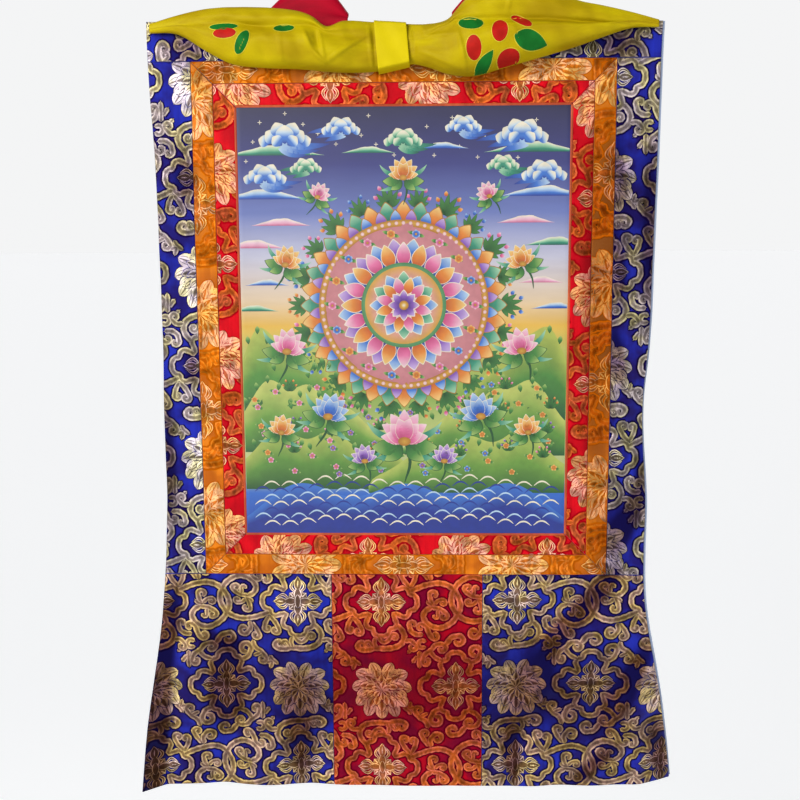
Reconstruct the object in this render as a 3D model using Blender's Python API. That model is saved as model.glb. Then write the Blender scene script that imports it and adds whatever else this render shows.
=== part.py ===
"""A thangka scroll painting: a painted cloth in two brocade borders, set in a blue brocade mount.

Metres, +Z up.  The cloth hangs near the plane y = 0 and its face looks towards -Y.  The origin is the
middle of the mount's top edge, by which it hangs.  Cloth coordinates are x across and z up: hang()
puts them on the hanging cloth.  Every flat piece is a grid laid on that one surface and thickened.
"""

import math

import bmesh
import bpy
from mathutils import Vector

# Sizes of the mount.  A seam is the gap that parts two pieces.
PAINTING_WIDTH = 0.355
PAINTING_HEIGHT = 0.465
TOP_STRIP_HEIGHT = 0.0387
MOUNT_HEIGHT = 0.8510
PANEL_LEFT = -0.083
PANEL_RIGHT = 0.087
SEAM = 0.0003
CLOTH = 0.0012
LINING = 0.0010
LINING_GAP = 0.0005
LINING_SHOWS = 0.0025
TOP_EDGE_TILT = -0.008

# Colours, as linear RGB.
BLUE = (0.010, 0.018, 0.300)
RED = (0.620, 0.010, 0.022)
CRIMSON = (0.360, 0.006, 0.014)
ORANGE = (0.660, 0.190, 0.018)
YELLOW = (0.680, 0.540, 0.010)
GREY_BLUE = (0.230, 0.290, 0.420)
CANVAS = (0.240, 0.330, 0.300)

# The strips sewn round the painting, from the inside out.
BORDERS = (
    # name, width, colour
    ("piping", 0.0015, ORANGE),
    ("red", 0.0227, RED),
    ("orange", 0.0230, ORANGE),
)
BORDERS_WIDTH = sum(width for name, width, colour in BORDERS)
FRAME_WIDTH = PAINTING_WIDTH + 2 * BORDERS_WIDTH
FRAME_TOP = -TOP_STRIP_HEIGHT
FRAME_BOTTOM = FRAME_TOP - PAINTING_HEIGHT - 2 * BORDERS_WIDTH
PAINTING_MIDDLE = (FRAME_TOP + FRAME_BOTTOM) / 2

# The mount's side edges, and the lines inside them where its edges turn.
MOUNT_LINES = (
    # z, left edge, left crease, right crease, right edge
    (0.020, -0.2700, -0.2440, 0.2470, 0.2715),
    (-0.045, -0.2700, -0.2440, 0.2470, 0.2700),
    (-0.140, -0.2660, -0.2440, 0.2450, 0.2690),
    (-0.220, -0.2650, -0.2440, 0.2440, 0.2675),
    (-0.345, -0.2645, -0.2440, 0.2430, 0.2650),
    (-0.400, -0.2660, -0.2445, 0.2420, 0.2615),
    (-0.440, -0.2665, -0.2450, 0.2420, 0.2620),
    (-0.510, -0.2665, -0.2460, 0.2430, 0.2660),
    (-0.565, -0.2690, -0.2480, 0.2440, 0.2660),
    (-0.600, -0.2715, -0.2520, 0.2460, 0.2665),
    (-0.630, -0.2745, -0.2550, 0.2480, 0.2685),
    (-0.660, -0.2780, -0.2585, 0.2510, 0.2730),
    (-0.710, -0.2850, -0.2640, 0.2560, 0.2825),
    (-0.770, -0.2935, -0.2700, 0.2620, 0.2935),
    (-0.815, -0.2990, -0.2745, 0.2660, 0.3010),
    (-0.870, -0.3050, -0.2800, 0.2710, 0.3080),
)

# How far the bottom edge hangs above (+) or below (-) the mount's height.
BOTTOM_EDGE = (
    # x, rise
    (-0.320, -0.0020),
    (-0.250, 0.0000),
    (0.087, 0.0005),
    (0.220, 0.0035),
    (0.320, 0.0045),
)

# Grid lines run between these stops across the mount, with this many columns between each two.
STOPS = ("left edge", "left crease", "frame left", "panel left",
         "panel right", "frame right", "right crease", "right edge")
COLUMNS = (2, 3, 9, 7, 9, 3, 2)
TOP_ROWS = 2
SIDE_ROWS = 12
LOWER_ROWS = 15
LONG_STRIP_STEPS = 12
SHORT_STRIP_STEPS = 14

# Soft waves all over the cloth, and folds below the frame: a trough goes back (+), a ridge forward (-).
WAVES = (
    # from x, from z, to x, to z, half width, depth
    (-0.215, -0.120, -0.205, -0.420, 0.045, -0.0025),
    (-0.240, -0.380, -0.245, -0.560, 0.030, 0.0020),
    (-0.060, -0.200, -0.090, -0.480, 0.080, -0.0020),
    (0.090, -0.160, 0.060, -0.400, 0.070, 0.0020),
    (0.195, -0.160, 0.198, -0.520, 0.020, 0.0022),
    (0.240, -0.230, 0.236, -0.520, 0.025, -0.0025),
)
FOLDS = (
    # from x, from z, to x, to z, half width, depth
    (0.238, -0.560, 0.118, -0.700, 0.020, 0.0080),
    (0.262, -0.610, 0.165, -0.760, 0.022, -0.0070),
    (0.215, -0.690, 0.118, -0.820, 0.019, 0.0060),
    (0.280, -0.700, 0.205, -0.860, 0.022, -0.0070),
    (0.112, -0.620, 0.100, -0.720, 0.020, -0.0040),
    (0.150, -0.790, 0.140, -0.870, 0.018, -0.0040),
    (-0.198, -0.600, -0.178, -0.720, 0.024, 0.0070),
    (-0.238, -0.620, -0.236, -0.790, 0.022, -0.0050),
    (-0.118, -0.610, -0.108, -0.760, 0.022, -0.0050),
    (-0.150, -0.760, -0.165, -0.870, 0.024, -0.0050),
    (-0.098, -0.740, -0.108, -0.870, 0.020, 0.0060),
    (-0.205, -0.770, -0.215, -0.870, 0.020, 0.0050),
    (0.000, -0.640, 0.008, -0.860, 0.050, -0.0035),
)

# Edges that turn past a crease: how fast they go back (+) or forward (-), and where, from z to z.
TURNED_EDGES = (
    # crease, slope, z where it starts, z where it is full, z where it ends
    ("left crease", -0.80, -0.640, -0.780, -9.0),
    ("right crease", 0.50, -0.720, -0.840, -9.0),
    ("right crease", 0.40, -0.300, -0.410, -0.520),
)
CREASE_ROUNDING = 0.0025
FOLDS_START = 0.004
FOLDS_FADE = 0.070
FOLD_END_SHARE = 0.25
SLOPE_STEP = 0.0005

# The silk veil, gathered up in front of the mount's top edge.
VEIL = 0.0010
VEIL_BACK = -0.0055
VEIL_STATIONS = 40
VEIL_STEPS = 14
VEIL_SHAPE = (
    # x, top, bottom, bulge forward, crease height, crease depth
    (-0.2650, -0.0015, -0.0100, 0.0085, -0.0060, 0.0000),
    (-0.2350, 0.0060, -0.0120, 0.0150, -0.0040, 0.0003),
    (-0.2050, 0.0110, -0.0295, 0.0250, -0.0030, 0.0020),
    (-0.1780, 0.0118, -0.0430, 0.0330, -0.0020, 0.0050),
    (-0.1450, 0.0108, -0.0485, 0.0380, -0.0020, 0.0070),
    (-0.1100, 0.0080, -0.0500, 0.0400, -0.0040, 0.0060),
    (-0.0780, -0.0020, -0.0530, 0.0370, -0.0160, 0.0070),
    (-0.0560, 0.0000, -0.0550, 0.0340, -0.0180, 0.0030),
    (-0.0300, -0.0020, -0.0510, 0.0240, -0.0200, 0.0000),
    (-0.0105, -0.0030, -0.0490, 0.0230, -0.0200, 0.0000),
    (0.0090, -0.0025, -0.0505, 0.0240, -0.0200, 0.0000),
    (0.0260, -0.0045, -0.0540, 0.0330, -0.0200, 0.0020),
    (0.0450, 0.0000, -0.0575, 0.0390, -0.0120, 0.0030),
    (0.0600, 0.0170, -0.0605, 0.0430, -0.0010, 0.0050),
    (0.0760, 0.0280, -0.0610, 0.0450, 0.0010, 0.0070),
    (0.1020, 0.0340, -0.0550, 0.0450, 0.0020, 0.0090),
    (0.1420, 0.0300, -0.0440, 0.0410, 0.0020, 0.0080),
    (0.1800, 0.0190, -0.0320, 0.0330, 0.0010, 0.0060),
    (0.2110, 0.0130, -0.0195, 0.0240, 0.0000, 0.0030),
    (0.2380, 0.0060, -0.0100, 0.0150, -0.0030, 0.0005),
    (0.2630, -0.0015, -0.0095, 0.0085, -0.0060, 0.0000),
)

# The band that ties the veil, and the two streamers thrown back over the top edge.
BAND_LEFT = -0.0270
BAND_RIGHT = 0.0060
BAND_CLEARANCE = 0.0017
BAND_BACK = -0.0033
BAND_CORNER = 0.007
BAND_COLUMNS = 3
BAND_STEPS = 20
STREAMER = 0.0010
STREAMER_COLUMNS = 6
STREAMER_STEPS = 18
STREAMERS = (
    # name, left, right, hump height, where the hump peaks across the width, length behind
    ("streamer_left", -0.141, -0.062, 0.042, 0.58, 0.330),
    ("streamer_right", 0.052, 0.122, 0.034, 0.45, 0.300),
)


def smooth_row(table, at):
    """The values of a table's row at a place along its first column, with smooth steps between rows."""
    rows = sorted(table)
    last = len(rows) - 2
    index = max(0, min(last, sum(1 for row in rows if row[0] <= at) - 1))
    before, here, there, after = (rows[max(0, min(last + 1, index + step))] for step in (-1, 0, 1, 2))
    span = there[0] - here[0]
    t = max(0.0, min(1.0, (at - here[0]) / span))
    values = []
    for a, b, c, d in zip(before[1:], here[1:], there[1:], after[1:]):
        enter = (c - a) / max(there[0] - before[0], span) * span
        leave = (d - b) / max(after[0] - here[0], span) * span
        values.append(b + t * (enter + t * ((3 * (c - b) - 2 * enter - leave)
                                            + t * (enter + leave - 2 * (c - b)))))
    return values


def smooth_path(points, steps):
    """Evenly numbered points along a smooth curve through the given ones."""
    keyed = [(index,) + tuple(point) for index, point in enumerate(points)]
    top = len(points) - 1
    return [smooth_row(keyed, top * step / steps) for step in range(steps + 1)]


def ease(value):
    """A smooth step from 0 to 1."""
    value = max(0.0, min(1.0, value))
    return value * value * (3 - 2 * value)


def stop_x(stop, z):
    """Where a stop of the mount's grid lies at a height."""
    fixed = {"frame left": -FRAME_WIDTH / 2, "panel left": PANEL_LEFT,
             "panel right": PANEL_RIGHT, "frame right": FRAME_WIDTH / 2}
    if stop in fixed:
        return fixed[stop]
    lines = ("left edge", "left crease", "right crease", "right edge")
    return smooth_row(MOUNT_LINES, z)[lines.index(stop)]


def fold_depth(x, z, fold):
    """How deep one fold is at a place: full at its middle, shallow at its ends."""
    from_x, from_z, to_x, to_z, half_width, depth = fold
    run_x, run_z = to_x - from_x, to_z - from_z
    t = ((x - from_x) * run_x + (z - from_z) * run_z) / (run_x ** 2 + run_z ** 2)
    t = max(0.0, min(1.0, t))
    distance = math.hypot(x - from_x - t * run_x, z - from_z - t * run_z)
    along = FOLD_END_SHARE + (1 - FOLD_END_SHARE) * math.sin(math.pi * t)
    return depth * along * math.exp(-(distance / half_width) ** 2)


def turned_depth(x, z, edge):
    """How far a turned edge has gone past its crease."""
    crease, slope, start, full, end = edge
    side = -1 if crease.startswith("left") else 1
    past = side * (x - stop_x(crease, z))
    past = (past + math.hypot(past, CREASE_ROUNDING)) / 2
    return slope * past * ease((start - z) / (start - full)) * ease((z - end) / (full - end))


def drape(x, z):
    """How far the hanging cloth stands behind (+) or before (-) the plane y = 0."""
    depth = sum(fold_depth(x, z, wave) for wave in WAVES)
    below_frame = ease((FRAME_BOTTOM + FOLDS_START - z) / FOLDS_FADE)
    if below_frame > 0:
        depth += below_frame * sum(fold_depth(x, z, fold) for fold in FOLDS)
    return depth + sum(turned_depth(x, z, edge) for edge in TURNED_EDGES)


def hang(x, z, behind=0.0):
    """The point of the hanging cloth at a cloth coordinate, a small distance behind its back face."""
    slope_x = (drape(x + SLOPE_STEP, z) - drape(x - SLOPE_STEP, z)) / (2 * SLOPE_STEP)
    slope_z = (drape(x, z + SLOPE_STEP) - drape(x, z - SLOPE_STEP)) / (2 * SLOPE_STEP)
    back = Vector((-slope_x, 1.0, -slope_z)).normalized()
    return Vector((x, drape(x, z), z)) + back * behind


def material(name, colour, roughness):
    """A plain cloth material."""
    made = bpy.data.materials.new(name)
    made.use_nodes = True
    shader = made.node_tree.nodes["Principled BSDF"]
    shader.inputs["Base Color"].default_value = (*colour, 1.0)
    shader.inputs["Roughness"].default_value = roughness
    shader.inputs["Metallic"].default_value = 0.0
    return made


def cloth_piece(name, columns, rows, place, finish, thickness=CLOTH, offset=1.0):
    """A sheet: a grid whose corner (column, row) goes to place(), row 0 at the top, then thickened."""
    mesh = bpy.data.meshes.new(name)
    work = bmesh.new()
    bmesh.ops.create_grid(work, x_segments=columns, y_segments=rows, size=0.5)
    for vertex in work.verts:
        column = round((vertex.co.x + 0.5) * columns)
        row = round((0.5 - vertex.co.y) * rows)
        vertex.co = place(column, row)
    for face in work.faces:
        face.smooth = True
    work.to_mesh(mesh)
    work.free()
    mesh.materials.append(finish)
    piece = bpy.data.objects.new(name, mesh)
    bpy.context.scene.collection.objects.link(piece)
    solidify = piece.modifiers.new("thickness", "SOLIDIFY")
    solidify.thickness = thickness
    solidify.offset = offset
    return piece


def column_lines(first, last, z):
    """The grid lines between two stops at a height, drawn in a little from both stops."""
    start, end = STOPS.index(first), STOPS.index(last)
    lines = [stop_x(first, z)]
    for index in range(start, end):
        left, right = stop_x(STOPS[index], z), stop_x(STOPS[index + 1], z)
        count = COLUMNS[index]
        lines += [left + (right - left) * step / count for step in range(1, count + 1)]
    lines[0] += SEAM / 2
    lines[-1] -= SEAM / 2
    return lines


def edge_z(x, z):
    """A height on the mount, moved to follow its tilted top edge or its uneven bottom edge."""
    if z > FRAME_TOP:
        return z + TOP_EDGE_TILT * x * (1 - z / FRAME_TOP)
    if z < FRAME_BOTTOM:
        return z + smooth_row(BOTTOM_EDGE, x)[0] * (FRAME_BOTTOM - z) / (FRAME_BOTTOM + MOUNT_HEIGHT)
    return z


def even_rows(top, bottom, count):
    """Even heights from top to bottom."""
    return [top + (bottom - top) * row / count for row in range(count + 1)]


def mount_piece(name, first, last, heights, finish):
    """A piece of the mount between two stops, on the given heights."""
    lines = [column_lines(first, last, z) for z in heights]

    def place(column, row):
        x = lines[row][column]
        return hang(x, edge_z(x, heights[row]))

    cloth_piece(name, len(lines[0]) - 1, len(heights) - 1, place, finish)


def make_mount(blue, crimson):
    """The blue brocade round the frame, and the three panels below it."""
    above = even_rows(0.0, FRAME_TOP + SEAM / 2, TOP_ROWS)
    beside = even_rows(FRAME_TOP - SEAM / 2, FRAME_BOTTOM + SEAM / 2, SIDE_ROWS)
    below = even_rows(FRAME_BOTTOM - SEAM / 2, -MOUNT_HEIGHT, LOWER_ROWS)
    pieces = (
        ("blue_top", "left edge", "right edge", above, blue),
        ("blue_left", "left edge", "frame left", beside, blue),
        ("blue_right", "frame right", "right edge", beside, blue),
        ("lower_left", "left edge", "panel left", below, blue),
        ("lower_centre", "panel left", "panel right", below, crimson),
        ("lower_right", "panel right", "right edge", below, blue),
    )
    for row in pieces:
        mount_piece(*row)


def make_lining(finish):
    """One backing cloth behind everything, whose right edge shows past the brocade."""
    heights = even_rows(0.0, FRAME_TOP, TOP_ROWS)
    heights += even_rows(FRAME_TOP, FRAME_BOTTOM, SIDE_ROWS)[1:]
    heights += even_rows(FRAME_BOTTOM, -MOUNT_HEIGHT, LOWER_ROWS)[1:]
    lines = [column_lines("left edge", "right edge", z) for z in heights]
    lines = [row + [row[-1] + LINING_SHOWS] for row in lines]

    def place(column, row):
        x = lines[row][column]
        return hang(x, edge_z(x, heights[row]), LINING_GAP)

    cloth_piece("lining", len(lines[0]) - 1, len(heights) - 1, place, finish, LINING, -1.0)


def make_painting(finish):
    """The painted cloth."""
    width, height = PAINTING_WIDTH - SEAM, PAINTING_HEIGHT - SEAM

    def place(column, row):
        x = width * (column / SHORT_STRIP_STEPS - 0.5)
        return hang(x, PAINTING_MIDDLE - height * (row / LONG_STRIP_STEPS - 0.5))

    cloth_piece("painting", SHORT_STRIP_STEPS, LONG_STRIP_STEPS, place, finish)


def border_strip(name, side, inner, outer, finish):
    """One strip of a border, its ends mitred at 45 degrees; inner and outer are half sizes."""
    upright = side in ("left", "right")
    steps = LONG_STRIP_STEPS if upright else SHORT_STRIP_STEPS
    sign = -1 if side in ("left", "bottom") else 1
    across = 0 if upright else 1

    def place(column, row):
        share = (row / steps - 0.5) * 2 if upright else (column / steps - 0.5) * 2
        outwards = column if upright else 1 - row
        if side in ("left", "bottom"):
            outwards = 1 - outwards
        from_middle = (inner[across] + SEAM / 2, outer[across] - SEAM / 2)[outwards]
        half_run = from_middle + inner[1 - across] - inner[across] - SEAM * math.sqrt(0.5)
        if upright:
            return hang(sign * from_middle, PAINTING_MIDDLE - share * half_run)
        return hang(share * half_run, PAINTING_MIDDLE + sign * from_middle)

    if upright:
        cloth_piece(name, 1, steps, place, finish)
    else:
        cloth_piece(name, steps, 1, place, finish)


def make_borders():
    """The piping, the red border and the orange one: four mitred strips each."""
    inner = (PAINTING_WIDTH / 2, PAINTING_HEIGHT / 2)
    for name, width, colour in BORDERS:
        outer = (inner[0] + width, inner[1] + width)
        finish = material(name + "_brocade", colour, 0.55)
        for side in ("top", "bottom", "left", "right"):
            border_strip(name + "_" + side, side, inner, outer, finish)
        inner = outer


def veil_section(x):
    """The veil's section at x, as (y, z): down behind, round its bottom fold, up and over its top."""
    top, bottom, bulge, crease, crease_depth = smooth_row(VEIL_SHAPE, x)
    height = top - bottom

    def forward(share):
        return VEIL_BACK - share * (bulge + VEIL_BACK)

    sewn = min(-0.0050, top - 0.30 * height)
    crease = min(crease, top - 0.15 * height)
    belly = bottom + 0.36 * height
    return (
        (VEIL_BACK, sewn),
        (VEIL_BACK, (sewn + bottom) / 2),
        (forward(0.06), bottom + 0.08 * height),
        (forward(0.32), bottom),
        (forward(0.78), bottom + 0.10 * height),
        (forward(1.00), belly),
        (forward(0.96), (belly + crease) / 2),
        (forward(0.92) + crease_depth, crease),
        (forward(0.86) + 0.15 * crease_depth, (crease + top) / 2),
        (forward(0.55), top),
        (forward(0.18), top - 0.10 * height),
        (VEIL_BACK, max(sewn + 0.0025, min(-0.0010, top - 0.16 * height))),
    )


def make_veil(finish):
    """The veil: one thin sheet of silk, gathered into a soft roll from corner to corner."""
    left, right = VEIL_SHAPE[0][0], VEIL_SHAPE[-1][0]
    lines = [left + (right - left) * station / VEIL_STATIONS for station in range(VEIL_STATIONS + 1)]
    sections = [smooth_path(veil_section(x), VEIL_STEPS) for x in lines]

    def place(column, row):
        y, z = sections[column][row]
        return Vector((lines[column], y, z))

    cloth_piece("veil", VEIL_STATIONS, VEIL_STEPS, place, finish, VEIL, 0.0)


def make_band(finish):
    """The flat band that holds the gathered veil at its middle."""
    held = [smooth_row(VEIL_SHAPE, x) for x in (BAND_LEFT, (BAND_LEFT + BAND_RIGHT) / 2, BAND_RIGHT)]
    top = max(row[0] for row in held) + BAND_CLEARANCE
    bottom = min(row[1] for row in held) - BAND_CLEARANCE
    front = -max(row[2] for row in held) - BAND_CLEARANCE
    path = smooth_path((
        (BAND_BACK, bottom + BAND_CORNER),
        (BAND_BACK - 0.0015, bottom),
        (front / 2, bottom - 0.0005),
        (front + 0.0015, bottom + 0.0020),
        (front, bottom + BAND_CORNER),
        (front - 0.0010, (top + bottom) / 2),
        (front, top - BAND_CORNER),
        (front + 0.0015, top - 0.0020),
        (front / 2, top + 0.0005),
        (BAND_BACK - 0.0015, top),
        (BAND_BACK, top - 0.0040),
    ), BAND_STEPS)

    def place(column, row):
        x = BAND_LEFT + (BAND_RIGHT - BAND_LEFT) * column / BAND_COLUMNS
        y, z = path[row]
        return Vector((x, y, z))

    cloth_piece("veil_band", BAND_COLUMNS, BAND_STEPS, place, finish, VEIL, 0.0)


def streamer_path(share, hump, peak, length):
    """A streamer's run at a share of its width: up from the top edge, over, and down behind."""
    if share < peak:
        rise = math.sin(math.pi / 2 * share / peak)
    else:
        rise = math.sin(math.pi / 2 * (1 - share) / (1 - peak))
    height = 0.010 + (hump - 0.010) * rise
    ripple = 0.0025 * math.sin(3 * math.pi * share)
    return (
        (0.0005, 0.0035),
        (-0.0010, 0.35 * height),
        (0.0020, 0.80 * height),
        (0.0080, height),
        (0.0150, 0.85 * height),
        (0.0180, 0.30 * height),
        (0.0160, -0.015),
        (0.0120 + ripple, -0.060),
        (0.0100 + ripple, -0.5 * length),
        (0.0100 + ripple, -length),
    )


def make_streamer(name, left, right, hump, peak, length, finish):
    """A red silk streamer thrown back over the top edge, in a hump that is highest near its middle."""
    shares = [column / STREAMER_COLUMNS for column in range(STREAMER_COLUMNS + 1)]
    paths = [smooth_path(streamer_path(share, hump, peak, length), STREAMER_STEPS) for share in shares]

    def place(column, row):
        x = left + (right - left) * shares[column]
        y, z = paths[column][row]
        return Vector((x, y, z))

    cloth_piece(name, STREAMER_COLUMNS, STREAMER_STEPS, place, finish, STREAMER, 0.0)


def main():
    for old in list(bpy.data.objects):
        bpy.data.objects.remove(old)
    make_painting(material("painted_canvas", CANVAS, 0.6))
    make_borders()
    make_mount(material("blue_brocade", BLUE, 0.5), material("crimson_brocade", CRIMSON, 0.5))
    make_lining(material("lining_cotton", GREY_BLUE, 0.85))
    silk = material("yellow_silk", YELLOW, 0.4)
    make_veil(silk)
    make_band(silk)
    red_silk = material("red_silk", RED, 0.4)
    for row in STREAMERS:
        make_streamer(*row, red_silk)


main()
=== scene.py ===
# %% [markdown]
# A thangka is a painted cloth that hangs in a mount of brocade.  This one has a thin piping, a red and
# an orange border round its painting, a blue mount that widens below, a lining, and a yellow silk veil
# that is gathered up along the top.  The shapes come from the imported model, so it is loaded first.
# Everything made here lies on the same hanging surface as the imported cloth, in metres, with +Z up.

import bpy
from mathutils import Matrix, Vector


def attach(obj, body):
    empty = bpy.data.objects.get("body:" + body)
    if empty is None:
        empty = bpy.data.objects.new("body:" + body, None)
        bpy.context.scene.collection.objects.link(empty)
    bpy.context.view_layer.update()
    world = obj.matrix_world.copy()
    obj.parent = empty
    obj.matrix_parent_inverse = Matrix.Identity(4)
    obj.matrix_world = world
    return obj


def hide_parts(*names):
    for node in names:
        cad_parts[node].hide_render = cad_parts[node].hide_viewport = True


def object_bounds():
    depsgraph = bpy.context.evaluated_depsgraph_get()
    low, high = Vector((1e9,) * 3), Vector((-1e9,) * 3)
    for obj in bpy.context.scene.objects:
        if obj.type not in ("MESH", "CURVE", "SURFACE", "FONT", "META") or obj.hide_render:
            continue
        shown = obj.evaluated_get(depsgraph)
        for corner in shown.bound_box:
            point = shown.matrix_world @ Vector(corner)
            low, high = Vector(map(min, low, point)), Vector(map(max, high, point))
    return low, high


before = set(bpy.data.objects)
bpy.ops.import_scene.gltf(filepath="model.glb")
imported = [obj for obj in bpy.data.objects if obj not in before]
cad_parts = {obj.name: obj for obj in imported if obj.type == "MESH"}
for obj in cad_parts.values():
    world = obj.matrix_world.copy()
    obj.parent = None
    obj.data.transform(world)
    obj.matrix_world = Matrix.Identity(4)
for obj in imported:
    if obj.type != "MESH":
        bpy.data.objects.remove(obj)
cad_box = [list(corner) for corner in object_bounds()]

import math

import bmesh
import bpy
import numpy as np
from mathutils import Matrix, Vector
from mathutils.bvhtree import BVHTree

MM = 0.001
print("nodes:", len(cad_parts), "box:", [[round(v, 3) for v in corner] for corner in cad_box])

# %% [markdown]
# The camera comes early, because every later choice is judged through it.  Its place was found by
# laying the three nested rectangles of the frame over the photograph.  It could be placed by eye, but
# a fit keeps the slight look up at the veil and down at the hem.  The angles are kept as named values.

# %% Camera
LENS = 50.0
CAMERA_DOWN = 8.36
CAMERA_SIDE = 1.685
CAMERA_ROLL = -0.3
CAMERA_DISTANCE = 1.2213
CAMERA_AIM = Vector((-0.0047, 0.0, -0.4004))


def camera_axes(down, side, roll):
    """The camera's right, up and forward directions, from its angles in degrees."""
    down, side, roll = (math.radians(angle) for angle in (down, side, roll))
    forward = Vector((-math.sin(side) * math.cos(down), math.cos(side) * math.cos(down), -math.sin(down)))
    level_right = Vector((math.cos(side), math.sin(side), 0.0))
    level_up = level_right.cross(forward)
    right = math.cos(roll) * level_right + math.sin(roll) * level_up
    return right, right.cross(forward), forward


right, up, forward = camera_axes(CAMERA_DOWN, CAMERA_SIDE, CAMERA_ROLL)
camera = bpy.data.objects.new("camera", bpy.data.cameras.new("camera"))
camera.data.lens = LENS
camera.matrix_world = (Matrix.Translation(CAMERA_AIM - forward * CAMERA_DISTANCE)
                       @ Matrix((right, up, -forward)).transposed().to_4x4())
bpy.context.scene.collection.objects.link(camera)
bpy.context.scene.camera = camera
print("camera at", [round(v, 3) for v in camera.location])

# %% [markdown]
# The cloth hangs in the air before nothing, so the studio is only a pale floor far below, a pale sky
# and soft lamps.  The main light is a wide sun from the upper left, because the photograph's folds are
# dark on their right sides, and its rays light the floor evenly out to the horizon.  The sky is darker
# overhead, which gives the metal threads something to reflect, and pale where the camera sees it.

# %% Floor, sky and lamps
FLOOR_BELOW = 2.1
FLOOR_SIDE = 400.0
FLOOR_PALE = 0.93
FLOOR_ROUGHNESS = 0.9
SKY_PALE = (0.905, 0.91, 0.915)
SKY_OVERHEAD = (0.20, 0.22, 0.25)
SKY_PALE_UP_TO = 0.22
SKY_DARK_FROM = 0.75
SUN_FROM = (-0.64, -0.95, 0.24)
SUN_DISTANCE = 3
SUN_STRENGTH = 2.6
SUN_WIDTH = 30.0
SUN_COLOUR = (1.0, 0.98, 0.95)
FLOOR_GLOW = 0.385
GLOW_COLOUR = (1.0, 0.99, 0.975)
LAMPS = (
    # name, place, size, watts, colour
    ("glint lamp", (-0.9, -1.7, 0.7), 0.5, 10.0, (1.0, 0.95, 0.86)),
    ("back lamp", (0.8, 2.4, 0.8), 1.8, 40.0, (1.0, 1.0, 1.0)),
)
LAMP_AIM = Vector((0.0, 0.0, -0.40))


def node(tree, kind, **settings):
    """A shader node with its settings and input values."""
    made = tree.nodes.new(kind)
    for name, value in settings.items():
        if name in made.inputs:
            made.inputs[name].default_value = value
        else:
            setattr(made, name, value)
    return made


def new_material(name, roughness, **values):
    """A material with a Principled shader: the material, its node tree and the shader."""
    made = bpy.data.materials.new(name)
    made.use_nodes = True
    shader = made.node_tree.nodes["Principled BSDF"]
    shader.inputs["Roughness"].default_value = roughness
    for socket, value in values.items():
        shader.inputs[socket.replace("_", " ")].default_value = value
    return made, made.node_tree, shader


def mix_colour(tree, share, first, second):
    """A colour between two others, each a colour or a socket, by a share from 0 to 1."""
    mix = node(tree, "ShaderNodeMix", data_type="RGBA")
    for socket, value in ((mix.inputs[0], share), (mix.inputs[6], first), (mix.inputs[7], second)):
        if isinstance(value, bpy.types.NodeSocket):
            tree.links.new(value, socket)
        elif isinstance(value, tuple):
            socket.default_value = (*value, 1.0)
        else:
            socket.default_value = value
    return mix.outputs[2]


def ranged(tree, value, low, high):
    """A value's smooth way from low to high, as 0 to 1."""
    spread = node(tree, "ShaderNodeMapRange", interpolation_type="SMOOTHSTEP")
    spread.inputs["From Min"].default_value = low
    spread.inputs["From Max"].default_value = high
    tree.links.new(value, spread.inputs["Value"])
    return spread.outputs["Result"]


def mesh_of(name, work):
    """A new mesh of what a bmesh holds, which is freed."""
    mesh = bpy.data.meshes.new(name)
    work.to_mesh(mesh)
    work.free()
    return mesh


def make_floor():
    """A plain pale floor below the cloth."""
    work = bmesh.new()
    bmesh.ops.create_grid(work, x_segments=1, y_segments=1, size=FLOOR_SIDE / 2)
    bmesh.ops.translate(work, verts=work.verts, vec=(0, 0, cad_box[0][2] - FLOOR_BELOW))
    mesh = mesh_of("floor", work)
    finish, tree, shader = new_material("pale floor", FLOOR_ROUGHNESS)
    shader.inputs["Base Color"].default_value = (FLOOR_PALE, FLOOR_PALE, FLOOR_PALE, 1.0)
    shader.inputs["Emission Color"].default_value = (*GLOW_COLOUR, 1.0)
    shader.inputs["Emission Strength"].default_value = FLOOR_GLOW
    mesh.materials.append(finish)
    floor = bpy.data.objects.new("floor", mesh)
    bpy.context.scene.collection.objects.link(floor)


def make_sky():
    """A sky that is pale near the horizon and darker overhead."""
    world = bpy.data.worlds.new("pale sky")
    world.use_nodes = True
    tree = world.node_tree
    direction = node(tree, "ShaderNodeTexCoord").outputs["Generated"]
    parts = node(tree, "ShaderNodeSeparateXYZ")
    tree.links.new(direction, parts.inputs[0])
    height = ranged(tree, parts.outputs["Z"], SKY_PALE_UP_TO, SKY_DARK_FROM)
    sky = mix_colour(tree, height, SKY_PALE, SKY_OVERHEAD)
    tree.links.new(sky, tree.nodes["Background"].inputs["Color"])
    bpy.context.scene.world = world


def hang_lamp(name, kind, place, watts, colour):
    """A lamp that looks at the middle of the cloth."""
    lamp = bpy.data.lights.new(name, kind)
    lamp.energy = watts
    lamp.color = colour
    holder = bpy.data.objects.new(name, lamp)
    holder.location = place
    holder.rotation_euler = (LAMP_AIM - Vector(place)).to_track_quat("-Z", "Y").to_euler()
    bpy.context.scene.collection.objects.link(holder)
    return lamp


make_floor()
make_sky()
sun_place = LAMP_AIM + SUN_DISTANCE * Vector(SUN_FROM)
hang_lamp("sun", "SUN", sun_place, SUN_STRENGTH, SUN_COLOUR).angle = math.radians(SUN_WIDTH)
for name, place, size, watts, colour in LAMPS:
    hang_lamp(name, "AREA", place, watts, colour).size = size
bpy.context.scene.view_settings.view_transform = "Standard"
print("lamps:", len(LAMPS))
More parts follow.
